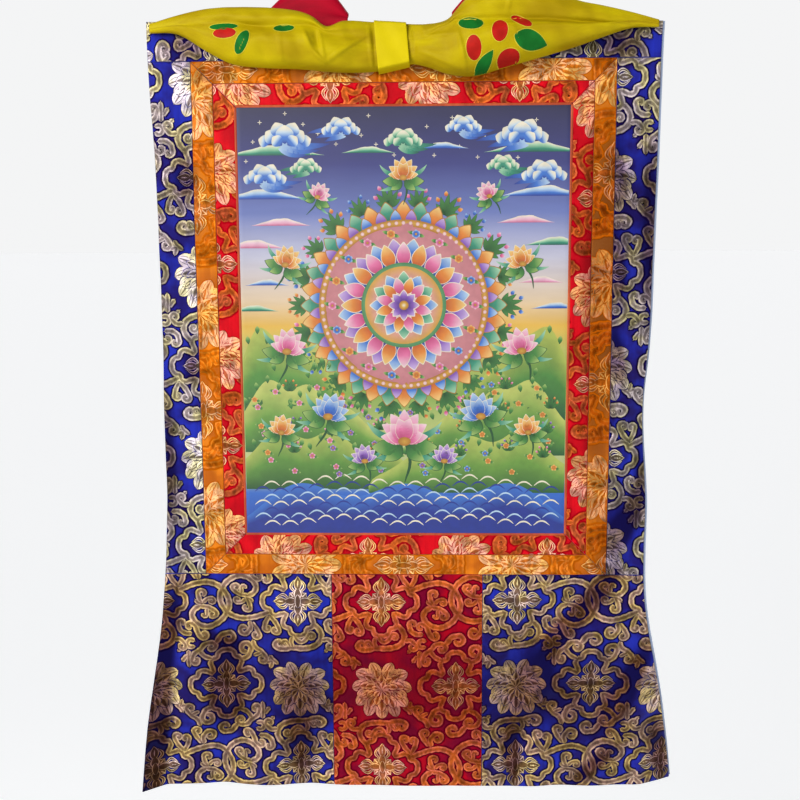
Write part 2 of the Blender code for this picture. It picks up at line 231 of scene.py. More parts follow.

# %% [markdown]
# Every flat piece lies on one hanging surface.  It is worked out as it is in the imported model: a plane,
# bent by soft waves all over, by folds below the frame, and by edges that turn past a crease.  A cloth
# simulation could find folds too, but not the ones in the photograph, so they are listed one by one.
# Places are handled as whole arrays, because there are many thousands of them.

# %% Sizes and folds of the hanging cloth
PAINTING_WIDTH = 0.355
PAINTING_HEIGHT = 0.465
TOP_STRIP_HEIGHT = 0.0387
MOUNT_HEIGHT = 0.8510
PANEL_LEFT = -0.083
PANEL_RIGHT = 0.087
SEAM = 0.0003
CLOTH = 0.0012
LINING = 0.0010
LINING_GAP = 0.0005
LINING_SHOWS = 0.0025
BAND_LEFT = -0.0270
BAND_RIGHT = 0.0060
PIPING_WIDTH = 0.0015
RED_WIDTH = 0.0227
ORANGE_WIDTH = 0.0230
BORDERS_WIDTH = PIPING_WIDTH + RED_WIDTH + ORANGE_WIDTH
FRAME_WIDTH = PAINTING_WIDTH + 2 * BORDERS_WIDTH
FRAME_TOP = -TOP_STRIP_HEIGHT
FRAME_BOTTOM = FRAME_TOP - PAINTING_HEIGHT - 2 * BORDERS_WIDTH
PAINTING_MIDDLE = (FRAME_TOP + FRAME_BOTTOM) / 2


def in_metres(rows, shares=0):
    """A table in millimetres, given in metres but for the shares in its last columns."""
    return tuple(tuple(value / 1000 for value in row[:len(row) - shares]) + row[len(row) - shares:]
                 for row in rows)


MOUNT_LINES = in_metres((
    # in mm: z, left edge, left crease, right crease, right edge
    (20, -270, -244, 247, 271.5),
    (-45, -270, -244, 247, 270),
    (-140, -266, -244, 245, 269),
    (-220, -265, -244, 244, 267.5),
    (-345, -264.5, -244, 243, 265),
    (-400, -266, -244.5, 242, 261.5),
    (-440, -266.5, -245, 242, 262),
    (-510, -266.5, -246, 243, 266),
    (-565, -269, -248, 244, 266),
    (-600, -271.5, -252, 246, 266.5),
    (-630, -274.5, -255, 248, 268.5),
    (-660, -278, -258.5, 251, 273),
    (-710, -285, -264, 256, 282.5),
    (-770, -293.5, -270, 262, 293.5),
    (-815, -299, -274.5, 266, 301),
    (-870, -305, -280, 271, 308),
))
LINE_NAMES = ("left edge", "left crease", "right crease", "right edge")
TOP_EDGE = in_metres((
    # in mm: x, rise; the edge tilts a little, and sags where the veil is tied in
    (-300, 2.4),
    (-108, 0.8),
    (-93, -1),
    (-79, -10.5),
    (-60, -5.4),
    (-28, -5.4),
    (10, -8),
    (28, -9),
    (48, -5.5),
    (62, 0),
    (300, -2.4),
))
BOTTOM_EDGE = in_metres((
    # in mm: x, rise
    (-320, -2),
    (-250, 0),
    (87, 0.5),
    (220, 3.5),
    (320, 4.5),
))
WAVES = in_metres((
    # in mm: from x, from z, to x, to z, half width, depth back (+) or forward (-)
    (-215, -120, -205, -420, 45, -2.5),
    (-240, -380, -245, -560, 30, 2),
    (-60, -200, -90, -480, 80, -2),
    (90, -160, 60, -400, 70, 2),
    (195, -160, 198, -520, 20, 2.2),
    (240, -230, 236, -520, 25, -2.5),
))
FOLDS = in_metres((
    # in mm: from x, from z, to x, to z, half width, depth
    (238, -560, 118, -700, 20, 8),
    (262, -610, 165, -760, 22, -7),
    (215, -690, 118, -820, 19, 6),
    (280, -700, 205, -860, 22, -7),
    (112, -620, 100, -720, 20, -4),
    (150, -790, 140, -870, 18, -4),
    (-198, -600, -178, -720, 24, 7),
    (-238, -620, -236, -790, 22, -5),
    (-118, -610, -108, -760, 22, -5),
    (-150, -760, -165, -870, 24, -5),
    (-98, -740, -108, -870, 20, 6),
    (-205, -770, -215, -870, 20, 5),
    (0, -640, 8, -860, 50, -3.5),
))
TURNED_EDGES = (
    # crease, slope, z where it starts, z where it is full, z where it ends
    ("left crease", -0.80, -0.640, -0.780, -9.0),
    ("right crease", 0.50, -0.720, -0.840, -9.0),
    ("right crease", 0.40, -0.300, -0.410, -0.520),
)
CREASE_ROUNDING = 0.0025
FOLDS_START = 0.004
FOLDS_FADE = 0.070
FOLD_END_SHARE = 0.25
SLOPE_STEP = 0.0005
CALM_SIZE = (0.185, 0.240)
CALM_EDGE = 0.030
CALM_SHARE = 0.2
CREASES = in_metres((
    # small creases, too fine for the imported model, in mm: from x, from z, to x, to z, half width, depth
    (-220, -75, -235, -150, 6, 0.7),
    (-215, -100, -221, -230, 5, -0.6),
    (-206, -300, -218, -360, 5, 0.5),
    (206, -60, 200, -330, 6, 0.9),
    (215, -330, 207, -460, 5, 0.6),
    (252, -420, 232, -560, 7, 1.4),
    (225, -470, 246, -590, 8, -1.2),
    (247, -560, 190, -612, 6, 1.6),
    (192, -640, 140, -705, 7, -1.4),
    (170, -740, 122, -800, 7, 1.4),
    (235, -755, 196, -830, 7, 1.6),
    (270, -780, 262, -850, 6, -1.2),
    (40, -640, 30, -720, 10, 1),
    (-45, -700, -60, -840, 10, 1.2),
    (-160, -640, -172, -700, 7, -1.2),
    (-215, -640, -228, -740, 7, 1.4),
    (-250, -660, -262, -840, 6, -1),
    (-125, -770, -130, -850, 7, 1.4),
    (150, -606, 20, -612, 6, 0.8),
    (-20, -610, -180, -606, 6, 0.8),
))
RIPPLES = (
    # the cloth's slight unevenness: waves in a metre across, and down, start, depth
    (11.0, 4.0, 0.3, 0.00035),
    (-6.0, 13.0, 1.7, 0.00030),
    (23.0, -17.0, 4.1, 0.00016),
    (31.0, 29.0, 2.2, 0.00010),
)


def smooth_row(table, at):
    """A table's rows at places along its first column, with smooth steps between rows."""
    rows = np.array(sorted(table), float)
    at = np.atleast_1d(np.asarray(at, float))
    last = len(rows) - 2
    index = np.clip(np.searchsorted(rows[:, 0], at, side="right") - 1, 0, last)
    before, here, there, after = (rows[np.clip(index + step, 0, last + 1)] for step in (-1, 0, 1, 2))
    span = there[:, :1] - here[:, :1]
    t = np.clip((at[:, None] - here[:, :1]) / span, 0.0, 1.0)
    enter = (there - before) / np.maximum(there[:, :1] - before[:, :1], span) * span
    leave = (after - here) / np.maximum(after[:, :1] - here[:, :1], span) * span
    rise = there - here
    values = here + t * (enter + t * ((3 * rise - 2 * enter - leave) + t * (enter + leave - 2 * rise)))
    return values[:, 1:]


def ease(value):
    """A smooth step from 0 to 1."""
    value = np.clip(value, 0.0, 1.0)
    return value * value * (3 - 2 * value)


def line_x(name, z):
    """Where one of the mount's lines lies at each height."""
    fixed = {"frame left": -FRAME_WIDTH / 2, "panel left": PANEL_LEFT,
             "panel right": PANEL_RIGHT, "frame right": FRAME_WIDTH / 2}
    if name in fixed:
        return np.full(len(z), fixed[name])
    return smooth_row(MOUNT_LINES, z)[:, LINE_NAMES.index(name)]


def fold_depth(x, z, fold):
    """How deep one fold is: full at its middle, shallow at its ends."""
    from_x, from_z, to_x, to_z, half_width, depth = fold
    run_x, run_z = to_x - from_x, to_z - from_z
    t = np.clip(((x - from_x) * run_x + (z - from_z) * run_z) / (run_x ** 2 + run_z ** 2), 0.0, 1.0)
    distance = np.hypot(x - from_x - t * run_x, z - from_z - t * run_z)
    along = FOLD_END_SHARE + (1 - FOLD_END_SHARE) * np.sin(math.pi * t)
    return depth * along * np.exp(-(distance / half_width) ** 2)


def turned_depth(x, z, edge):
    """How far a turned edge has gone past its crease."""
    crease, slope, start, full, end = edge
    side = -1 if crease.startswith("left") else 1
    past = side * (x - line_x(crease, z))
    past = (past + np.hypot(past, CREASE_ROUNDING)) / 2
    return slope * past * ease((start - z) / (start - full)) * ease((z - end) / (full - end))


def drape(x, z):
    """How far the hanging cloth stands behind (+) or before (-) the plane y = 0."""
    depth = sum(fold_depth(x, z, row) for row in WAVES + CREASES)
    below = ease((FRAME_BOTTOM + FOLDS_START - z) / FOLDS_FADE)
    depth += below * sum(fold_depth(x, z, row) for row in FOLDS)
    beyond = np.maximum(np.abs(x) - CALM_SIZE[0], np.abs(z - PAINTING_MIDDLE) - CALM_SIZE[1])
    rippled = CALM_SHARE + (1 - CALM_SHARE) * ease(beyond / CALM_EDGE)
    for across, down, start, height in RIPPLES:
        depth += rippled * height * np.sin(2 * math.pi * (across * x + down * z) + start)
    return depth + sum(turned_depth(x, z, edge) for edge in TURNED_EDGES)


def hang(x, z, behind=0.0):
    """Points of the hanging cloth at cloth coordinates, a small distance behind its back face."""
    slope_x = (drape(x + SLOPE_STEP, z) - drape(x - SLOPE_STEP, z)) / (2 * SLOPE_STEP)
    slope_z = (drape(x, z + SLOPE_STEP) - drape(x, z - SLOPE_STEP)) / (2 * SLOPE_STEP)
    back = np.stack((-slope_x, np.ones_like(x), -slope_z), 1)
    back /= np.linalg.norm(back, axis=1, keepdims=True)
    return np.stack((x, drape(x, z), z), 1) + back * np.reshape(behind, (-1, 1))


def edge_z(x, z):
    """Heights on the mount, moved to follow its sagging top edge or its uneven bottom edge."""
    above = smooth_row(TOP_EDGE, x)[:, 0] * (1 - z / FRAME_TOP)
    below = smooth_row(BOTTOM_EDGE, x)[:, 0] * (FRAME_BOTTOM - z) / (FRAME_BOTTOM + MOUNT_HEIGHT)
    return z + np.where(z > FRAME_TOP, above, 0.0) + np.where(z < FRAME_BOTTOM, below, 0.0)


near_hem = drape(np.linspace(-0.29, 0.29, 200), np.full(200, -0.80))
print("depth of the folds near the hem, mm:", round((near_hem.max() - near_hem.min()) / MM, 1))

# %% [markdown]
# A flat piece is a grid.  Its corners go onto the hanging surface, and a Solidify modifier then gives
# the cloth its thickness.  A plane that is subdivided and moved by hand would do for one piece, but a
# function lays them all alike.  Each piece keeps its cloth coordinates as a UV map, so that threads
# run along the cloth and not through it.  It also keeps a value of painted shade at each corner, which
# darkens the satin and the threads where a fold turns away from the light and over the lower panels.

# %% Laying a piece of cloth
HEM_ROUNDING = 0.0003
HEM_SEGMENTS = 2
HEM_ANGLE = 60
PAINTED_SHADE_PLACES = in_metres((
    # painted shade, in mm: from x, from z, to x, to z, half width; and by what share
    (250, -580, 150, -695, 11.5, 1.0),
    (278, -675, 220, -790, 12, 0.9),
    (158, -692, 128, -758, 15, 0.75),
    (284, -770, 298, -870, 13, 0.9),
    (120, -775, 124, -860, 10, 0.85),
    (245, -795, 180, -862, 11, 0.75),
    (-270, -640, -292, -800, 11, 1.4),
    (-284, -740, -300, -900, 13, 1.6),
    (-255, -595, -276, -690, 13, 0.8),
    (-204, -690, -208, -775, 19, 1.1),
    (-124, -745, -120, -870, 14, 0.7),
    (-185, -685, -232, -672, 10, 0.55),
    (-135, -705, -115, -770, 26, 0.45),
    (263, -120, 262, -330, 8, 0.7),
    (222, -235, 232, -288, 11, 0.8),
    (227, -325, 240, -392, 10, 0.8),
    (226, -580, 262, -500, 17, 1.1),
    (262, -430, 256, -530, 9, 0.7),
    (224, -130, 232, -190, 9, 0.5),
    (-234, -140, -233, -180, 10, 0.95),
    (-233, -342, -232, -386, 10, 0.95),
    (-263, -340, -262, -570, 8, 0.65),
    (208, -40, 214, -640, 23, 0.85),
    (-222, -60, -185, -46, 12, 0.7),
    (-320, -735, 320, -735, 90, 0.68),
    (110, -720, 270, -760, 90, 0.3),
    (-262, -20, -190, -22, 26, 0.8),
    (195, -22, 262, -20, 26, 0.8),
    (-240, -50, -240, -340, 50, 0.5),
    (245, -60, 250, -300, 50, 0.5),
    (-250, -400, -255, -560, 30, 0.35),
), 1)


def put_points(mesh, points):
    """Moves a mesh's corners to an array of points."""
    mesh.vertices.foreach_set("co", np.ascontiguousarray(points, np.float32).ravel())
    mesh.update()


def points_of(mesh):
    """A mesh's corners as an array."""
    points = np.zeros(len(mesh.vertices) * 3, np.float32)
    mesh.vertices.foreach_get("co", points)
    return points.reshape(-1, 3).astype(float)


def keep_cloth_map(mesh, flat):
    """Keeps each corner's cloth coordinates, in metres, as the UV map called cloth."""
    corners = np.zeros(len(mesh.loops), np.int32)
    mesh.loops.foreach_get("vertex_index", corners)
    layer = mesh.uv_layers.new(name="cloth")
    layer.data.foreach_set("uv", np.ascontiguousarray(flat[corners][:, :2], np.float32).ravel())


def keep_painted_shade(mesh, flat):
    """Keeps how much painted shade the cloth has at each corner, as an attribute."""
    values = np.clip(sum(fold_depth(flat[:, 0], flat[:, 1], row) for row in PAINTED_SHADE_PLACES), 0, 1)
    layer = mesh.attributes.new("painted_shade", "FLOAT", "POINT")
    layer.data.foreach_set("value", np.ascontiguousarray(values, np.float32))


def show(name, mesh, finish):
    """An object for a mesh, smooth, in its finish, that moves with the whole part."""
    mesh.polygons.foreach_set("use_smooth", np.ones(len(mesh.polygons), bool))
    mesh.materials.append(finish)
    piece = bpy.data.objects.new(name, mesh)
    bpy.context.scene.collection.objects.link(piece)
    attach(piece, "root")
    return piece


def cloth_piece(name, columns, rows, place, finish, thickness=CLOTH, offset=1.0,
                rounding=HEM_ROUNDING):
    """A sheet of columns by rows, laid by place(across, down), which gives points and flat places."""
    work = bmesh.new()
    bmesh.ops.create_grid(work, x_segments=columns, y_segments=rows, size=0.5)
    mesh = mesh_of(name, work)
    shares = points_of(mesh)
    points, flat = place(shares[:, 0] + 0.5, 0.5 - shares[:, 1])
    keep_cloth_map(mesh, flat)
    keep_painted_shade(mesh, flat)
    put_points(mesh, points)
    piece = show(name, mesh, finish)
    solidify = piece.modifiers.new("thickness", "SOLIDIFY")
    solidify.thickness = thickness
    solidify.offset = offset
    if rounding:
        bevel = piece.modifiers.new("rounded hem", "BEVEL")
        bevel.width = rounding
        bevel.segments = HEM_SEGMENTS
        bevel.limit_method = "ANGLE"
        bevel.angle_limit = math.radians(HEM_ANGLE)
    return piece


print("hem rounding, mm:", HEM_ROUNDING / MM)

# %% [markdown]
# The brocade is a satin.  Its ground shines softly across its threads and its colour is a little uneven.
# A photograph of cloth could be used, but nodes stay sharp at any distance.  Two sets of fine bands, one
# for the warp and one for the weft, press the threads into the surface as bump.

# %% Cloth finishes
WARP_PITCH = 0.00042
WEFT_PITCH = 0.00055
WAVE_UNIT = 2 * math.pi / 20
WEAVE_STRENGTH = 0.5
YARN_LUMPS = 900.0
SATIN_DEPTH = 0.00006
SATIN_ROUGHNESS = 0.38
SATIN_GLOSS = 0.35
# soft clouds: from, to, scale, detail, stretch
SATIN_CLOUDS = (0.38, 0.62, 26.0)
SATIN_STREAKS = (0.35, 0.75, 160.0, 2.0, (1.0, 0.06, 1.0))
STREAK_SHARE = 0.4
STREAK_DARK = 0.62
# painted shade on the satin: its darkest tone as a share of its dark tone, and the share where it starts
PAINTED_SHADE_DARK = 0.30
PAINTED_SHADE_FROM = 0.20


def cloth_place(tree):
    """The piece's own cloth coordinates."""
    return node(tree, "ShaderNodeUVMap", uv_map="cloth").outputs["UV"]


def corner_value(tree, name):
    """A value that each corner of the mesh carries."""
    return node(tree, "ShaderNodeAttribute", attribute_name=name).outputs["Fac"]


def part_of(tree, value, most):
    """A value times a share."""
    times = node(tree, "ShaderNodeMath", operation="MULTIPLY")
    times.inputs[1].default_value = most
    tree.links.new(value, times.inputs[0])
    return times.outputs[0]


def thread_bands(tree, place, direction, pitch):
    """Fine bands across the cloth, one for each thread."""
    wave = node(tree, "ShaderNodeTexWave", wave_type="BANDS", bands_direction=direction,
                Scale=WAVE_UNIT / pitch, Distortion=0.0)
    tree.links.new(place, wave.inputs["Vector"])
    return wave.outputs["Fac"]


def weave(tree, shader, depth, warp=WARP_PITCH, weft=WEFT_PITCH, slub=0.0):
    """Threads pressed into the surface, with soft lumps of the yarn where slub is over 0."""
    place = cloth_place(tree)
    across = thread_bands(tree, place, "X", warp)
    down = thread_bands(tree, place, "Y", weft)
    threads = node(tree, "ShaderNodeMath", operation="MAXIMUM")
    tree.links.new(across, threads.inputs[0])
    tree.links.new(down, threads.inputs[1])
    height = threads.outputs[0]
    if slub:
        lumps = node(tree, "ShaderNodeTexNoise", Scale=YARN_LUMPS, Detail=2.0)
        tree.links.new(place, lumps.inputs["Vector"])
        added = node(tree, "ShaderNodeMath", operation="MULTIPLY_ADD")
        added.inputs[1].default_value = slub
        tree.links.new(lumps.outputs["Fac"], added.inputs[0])
        tree.links.new(height, added.inputs[2])
        height = added.outputs[0]
    bump = node(tree, "ShaderNodeBump", Strength=WEAVE_STRENGTH, Distance=depth)
    tree.links.new(height, bump.inputs["Height"])
    tree.links.new(bump.outputs["Normal"], shader.inputs["Normal"])
    return height


def uneven(tree, low, high, scale, detail=3.0, stretch=(1.0, 1.0, 1.0)):
    """A soft cloudy value between 0 and 1 over the cloth."""
    mapping = node(tree, "ShaderNodeMapping", Scale=stretch)
    tree.links.new(cloth_place(tree), mapping.inputs["Vector"])
    noise = node(tree, "ShaderNodeTexNoise", Scale=scale, Detail=detail)
    tree.links.new(mapping.outputs["Vector"], noise.inputs["Vector"])
    return ranged(tree, noise.outputs["Fac"], low, high)


def satin_tone(tree, light, dark):
    """A satin's colour: cloudy, streaky, and darkened by painted shade."""
    cloudy = uneven(tree, *SATIN_CLOUDS)
    streaky = uneven(tree, *SATIN_STREAKS)
    tone = mix_colour(tree, cloudy, dark, light)
    deeper = tuple(STREAK_DARK * value for value in dark)
    tone = mix_colour(tree, part_of(tree, streaky, STREAK_SHARE), tone, deeper)
    # painted shade: the satin darkens where a fold turns from the light
    shadowed = tuple(PAINTED_SHADE_DARK * value for value in dark)
    return mix_colour(tree, ranged(tree, corner_value(tree, "painted_shade"), PAINTED_SHADE_FROM, 1.0), tone, shadowed)


def satin_ground(name, tones, gloss):
    """The plain satin between the motifs of a brocade, whose gloss has the colour of its silk."""
    finish, tree, shader = new_material(name, SATIN_ROUGHNESS, Specular_Tint=(*gloss, 1.0),
                                        Specular_IOR_Level=SATIN_GLOSS)
    tree.links.new(satin_tone(tree, *tones), shader.inputs["Base Color"])
    weave(tree, shader, SATIN_DEPTH)
    return finish


# light and dark tones of each silk
BLUES = (0.014, 0.022, 0.300), (0.012, 0.006, 0.064)
CRIMSONS = (0.310, 0.0010, 0.008), (0.115, 0.0006, 0.016)
REDS = (0.540, 0.0035, 0.010), (0.360, 0.002, 0.008)
PIPINGS = (0.420, 0.080, 0.030), (0.300, 0.045, 0.018)
ORANGES = (0.580, 0.155, 0.006), (0.380, 0.080, 0.003)
BLUE_SATIN = satin_ground("blue satin", BLUES, (0.05, 0.08, 1.0))
CRIMSON_SATIN = satin_ground("crimson satin", CRIMSONS, (1.0, 0.06, 0.10))
RED_SATIN = satin_ground("red satin", REDS, (1.0, 0.10, 0.10))
PIPING_SATIN = satin_ground("piping satin", PIPINGS, (1.0, 0.5, 0.3))
ORANGE_SATIN = satin_ground("orange satin", ORANGES, (1.0, 0.55, 0.20))
print("satins:", [finish.name for finish in bpy.data.materials if "satin" in finish.name])

# %% [markdown]
# The mount is cut in six pieces: a strip above the frame, one on each side, and three panels below it.
# Their outer edges are the slightly bowed lines of the table above.  Each is laid as a fine grid, about
# 2.2 mm a square, so that the small creases show in the mesh itself.

# %% The mount's six pieces of ground cloth
GRID = 0.0022
MOUNT_PIECES = {
    # node: left line, right line, top, bottom
    "blue_top": ("left edge", "right edge", 0.0, FRAME_TOP + SEAM / 2),
    "blue_left": ("left edge", "frame left", FRAME_TOP - SEAM / 2, FRAME_BOTTOM + SEAM / 2),
    "blue_right": ("frame right", "right edge", FRAME_TOP - SEAM / 2, FRAME_BOTTOM + SEAM / 2),
    "lower_left": ("left edge", "panel left", FRAME_BOTTOM - SEAM / 2, -MOUNT_HEIGHT),
    "lower_centre": ("panel left", "panel right", FRAME_BOTTOM - SEAM / 2, -MOUNT_HEIGHT),
    "lower_right": ("panel right", "right edge", FRAME_BOTTOM - SEAM / 2, -MOUNT_HEIGHT),
}


def side_lines(left, right, z, inset=SEAM / 2):
    """A mount piece's left and right ends at each height, a little inside its lines."""
    return line_x(left, z) + inset, line_x(right, z) - inset


def mount_ground(name, finish):
    """The ground cloth of one piece of the mount."""
    left, right, top, bottom = MOUNT_PIECES[name]
    start, end = side_lines(left, right, np.array([bottom]))
    columns = max(8, round(float(end[0] - start[0]) / GRID))
    rows = max(8, round((top - bottom) / GRID))

    def place(across, down):
        z = top + (bottom - top) * down
        start, end = side_lines(left, right, z)
        x = start + (end - start) * across
        flat = np.stack((x, z), 1)
        return hang(x, edge_z(x, z)), flat

    piece = cloth_piece(name + "_cloth", columns, rows, place, finish)
    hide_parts(name)
    return piece


for name in MOUNT_PIECES:
    crimson = name == "lower_centre"
    mount_ground(name, CRIMSON_SATIN if crimson else BLUE_SATIN)

# %% [markdown]
# The frame is three nested borders of four strips: a thin piping, a red and an orange brocade.  The ends
# of the strips meet at 45 degrees.  The strips lie a little higher the further out they are, because each
# is sewn over the last.  The piping is a thin roll, so its middle stands proud of its edges.

# %% The strips round the painting
BORDERS = (
    # name, width, finish, slot, thickness, faces across
    ("piping", PIPING_WIDTH, PIPING_SATIN, "piping_silk", 0.0013, 4),
    ("red", RED_WIDTH, RED_SATIN, "red_brocade", 0.0013, 9),
    ("orange", ORANGE_WIDTH, ORANGE_SATIN, "orange_brocade", 0.0016, 9),
)
SIDES = ("top", "bottom", "left", "right")
PIPING_RISE = 0.0006


def strip_corner(side, inner, outer, along, outwards):
    """Cloth coordinates on a strip: along it from -1 to 1, and outwards from 0 to 1."""
    upright = side in ("left", "right")
    across = 0 if upright else 1
    sign = -1 if side in ("left", "bottom") else 1
    near, far = inner[across] + SEAM / 2, outer[across] - SEAM / 2
    from_middle = near + (far - near) * outwards
    half_run = from_middle + inner[1 - across] - inner[across] - SEAM * math.sqrt(0.5)
    if upright:
        return sign * from_middle, PAINTING_MIDDLE - along * half_run
    return along * half_run, PAINTING_MIDDLE + sign * from_middle


def strip_ground(name, side, inner, outer, finish, thickness, faces_across):
    """The ground cloth of one strip of a border."""
    upright = side in ("left", "right")
    steps = round(2 * outer[1 if upright else 0] / GRID)
    columns, rows = (faces_across, steps) if upright else (steps, faces_across)

    def place(across, down):
        along = (down if upright else across) * 2 - 1
        outwards = across if upright else 1 - down
        if side in ("left", "bottom"):
            outwards = 1 - outwards
        x, z = strip_corner(side, inner, outer, along, outwards)
        rise = PIPING_RISE * np.sin(math.pi * outwards) if name == "piping" else 0.0
        return hang(x, z, -rise * np.ones_like(x)), np.stack((x, z), 1)

    rounding = 0.0 if name == "piping" else HEM_ROUNDING
    piece = cloth_piece(f"{name}_{side}_cloth", columns, rows, place, finish, thickness, 1.0, rounding)
    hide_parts(f"{name}_{side}")
    return piece


inner = (PAINTING_WIDTH / 2, PAINTING_HEIGHT / 2)
border_edges = {}
for name, width, finish, slot, thickness, faces_across in BORDERS:
    outer = (inner[0] + width, inner[1] + width)
    border_edges[name] = (inner, outer)
    for side in SIDES:
        strip_ground(name, side, inner, outer, finish, thickness,
                                                faces_across)
    inner = outer
    print(name, "border, outer size:", round(2 * outer[0], 4), "x", round(2 * outer[1], 4))

# %% [markdown]
# The brocade's pattern is an old one: crosses of four buds, each in a scalloped quatrefoil, lotus
# flowers between them, and curling scrolls and rings over the rest.  It could be painted with nodes, but
# then its threads would lie flat.  Here each scroll is a ribbon: a narrow grid that is bent along a
# smooth path, with its middle raised a little, as the metal threads of a real brocade are.

# %% Ribbons and leaves
# the outermost row of a section, further out, is a painted shadow round the ribbon
SECTIONS = {
    # from the edge to the middle: share of the half width, further out in mm, raised, lift in mm
    "scroll": ((1.0, 2.8, 0.00, 0.03), (1.0, 0.0, 0.44, 0.15), (0.0, 0.0, 1.00, 0.24)),
    "petal": ((1.0, 1.2, 0.00, 0.04), (1.0, 0.0, 0.44, 0.13), (1.0, -0.9, 0.80, 0.22),
              (0.0, 0.0, 1.00, 0.30)),
    "flower": ((1.0, 1.5, 0.00, 0.06), (1.0, 0.0, 0.45, 0.20), (0.76, 0.0, 0.54, 0.34),
               (0.52, 0.0, 0.35, 0.12), (0.26, 0.0, 0.54, 0.30), (0.0, 0.0, 0.84, 0.16)),
    "feather": ((1.0, 1.0, 0.00, 0.06), (1.0, 0.0, 0.45, 0.20), (0.64, 0.0, 0.56, 0.32),
                (0.0, 0.0, 1.00, 0.08)),
    "line": ((1.0, 0.0, 0.45, 0.04), (0.0, 0.0, 0.55, 0.12)),
    "dye": ((1.0, 0.0, 0.00, 0.00), (0.75, 0.0, 0.33, 0.00), (0.40, 0.0, 0.67, 0.00),
            (0.0, 0.0, 1.00, 0.00)),
}
LEAST_SHARE = 0.35
STEP_LENGTH = 1.9
PETAL_STEP = 3.0
CURL_SHRINK = 0.42
CURL_POWER = 1.3
CURL_STEPS_A_TURN = 16
HEADING_REACH = 0.3
# how far a ribbon's painted shadow reaches past its ends, as a share of its reach at the sides
END_SHADOW_RING = 0.4
KNOBS = 0.09
KNOB_LENGTH = 7.5
END_STEPS = (0.0, 0.12, 0.45)
ROUND = "round"
POINTED = "pointed"
FULL = "full"
BROAD = "broad"
OVAL = "oval"
PETAL_ENDS = {
    # kind of petal: where it is widest (a power), how full it is (a power), least share of its width
    POINTED: (0.8, 0.8, 0.05),
    FULL: (1.45, 0.85, 0.04),
    BROAD: (1.7, 0.55, 0.05),
}


def smooth_line(points, steps=8):
    """Many places along a smooth curve through the given ones."""
    keyed = [(index, *point) for index, point in enumerate(points)]
    if len(points) == 2:
        steps = 2
    return smooth_row(keyed, np.linspace(0, len(points) - 1, steps * (len(points) - 1) + 1))


def curl(line, radius, turns):
    """A line that goes on into a tightening curl: turns over 0 go clockwise where down is positive."""
    heading = line[-1] - line[-2]
    heading /= np.hypot(*heading)
    side = math.copysign(1.0, turns)
    to_middle = side * np.array((-heading[1], heading[0]))
    middle = line[-1] + radius * to_middle
    count = max(4, round(abs(turns) * CURL_STEPS_A_TURN))
    angles = side * np.linspace(0, 2 * math.pi * abs(turns), count + 1)[1:]
    shrink = 1 - CURL_SHRINK * np.linspace(0, 1, count + 1)[1:] ** CURL_POWER
    start = -to_middle
    circle = np.stack((start[0] * np.cos(angles) - start[1] * np.sin(angles),
                       start[0] * np.sin(angles) + start[1] * np.cos(angles)), 1)
    return np.concatenate((line, middle + radius * shrink[:, None] * circle))


def along_line(line, marks):
    """Places and headings at lengths along a line, which goes on straight past its ends."""
    steps = np.hypot(*np.diff(line, axis=0).T)
    lengths = np.concatenate(((0.0,), np.cumsum(steps)))
    on_line = np.clip(marks, 0, lengths[-1])
    behind, places, ahead = (
        np.stack([np.interp(on_line + step, lengths, line[:, axis]) for axis in (0, 1)], 1)
        for step in (-HEADING_REACH, 0.0, HEADING_REACH))
    headings = ahead - behind
    headings /= np.maximum(np.hypot(*headings.T)[:, None], 1e-9)
    return places + headings * (marks - on_line)[:, None], headings


def ribbon_marks(length, half_width, ends, step):
    """Lengths along a ribbon where it gets a row of corners, closer together at its ends."""
    if ends is None:
        return np.linspace(0, length, max(3, round(length / step)) + 1)
    cap = min(half_width if ends == ROUND else length / 6, length / 3)
    inner = np.linspace(cap, length - cap, max(1, round((length - 2 * cap) / step)) + 1)
    first = cap * np.array(END_STEPS)
    return np.concatenate((first, inner, length - first[::-1]))


def ribbon_widths(marks, length, half_width, ends, taper):
    """The half width at each mark: knobby with round ends, like one of the petals, or oval."""
    shares = marks / length
    widths = half_width * np.interp(shares, (0, 0.25, 0.75, 1), (taper[0], 1.0, 1.0, taper[1]))
    if ends in (ROUND, None):
        widths *= 1 + KNOBS * np.sin(2 * math.pi * marks / (length / max(1, round(length / KNOB_LENGTH))))
    if ends == ROUND:
        from_end = np.minimum(np.minimum(marks, length - marks) / half_width, 1.0)
        widths *= np.sqrt(np.maximum(1 - (1 - from_end) ** 2, 0.01))
    elif ends in PETAL_ENDS:
        widest, fullness, least = PETAL_ENDS[ends]
        widths *= np.maximum(np.sin(math.pi * np.minimum(shares, 0.999) ** widest) ** fullness, least)
    elif ends == OVAL:
        widths *= np.sqrt(np.maximum(1 - (2 * shares - 1) ** 2, 0.003))
    return widths


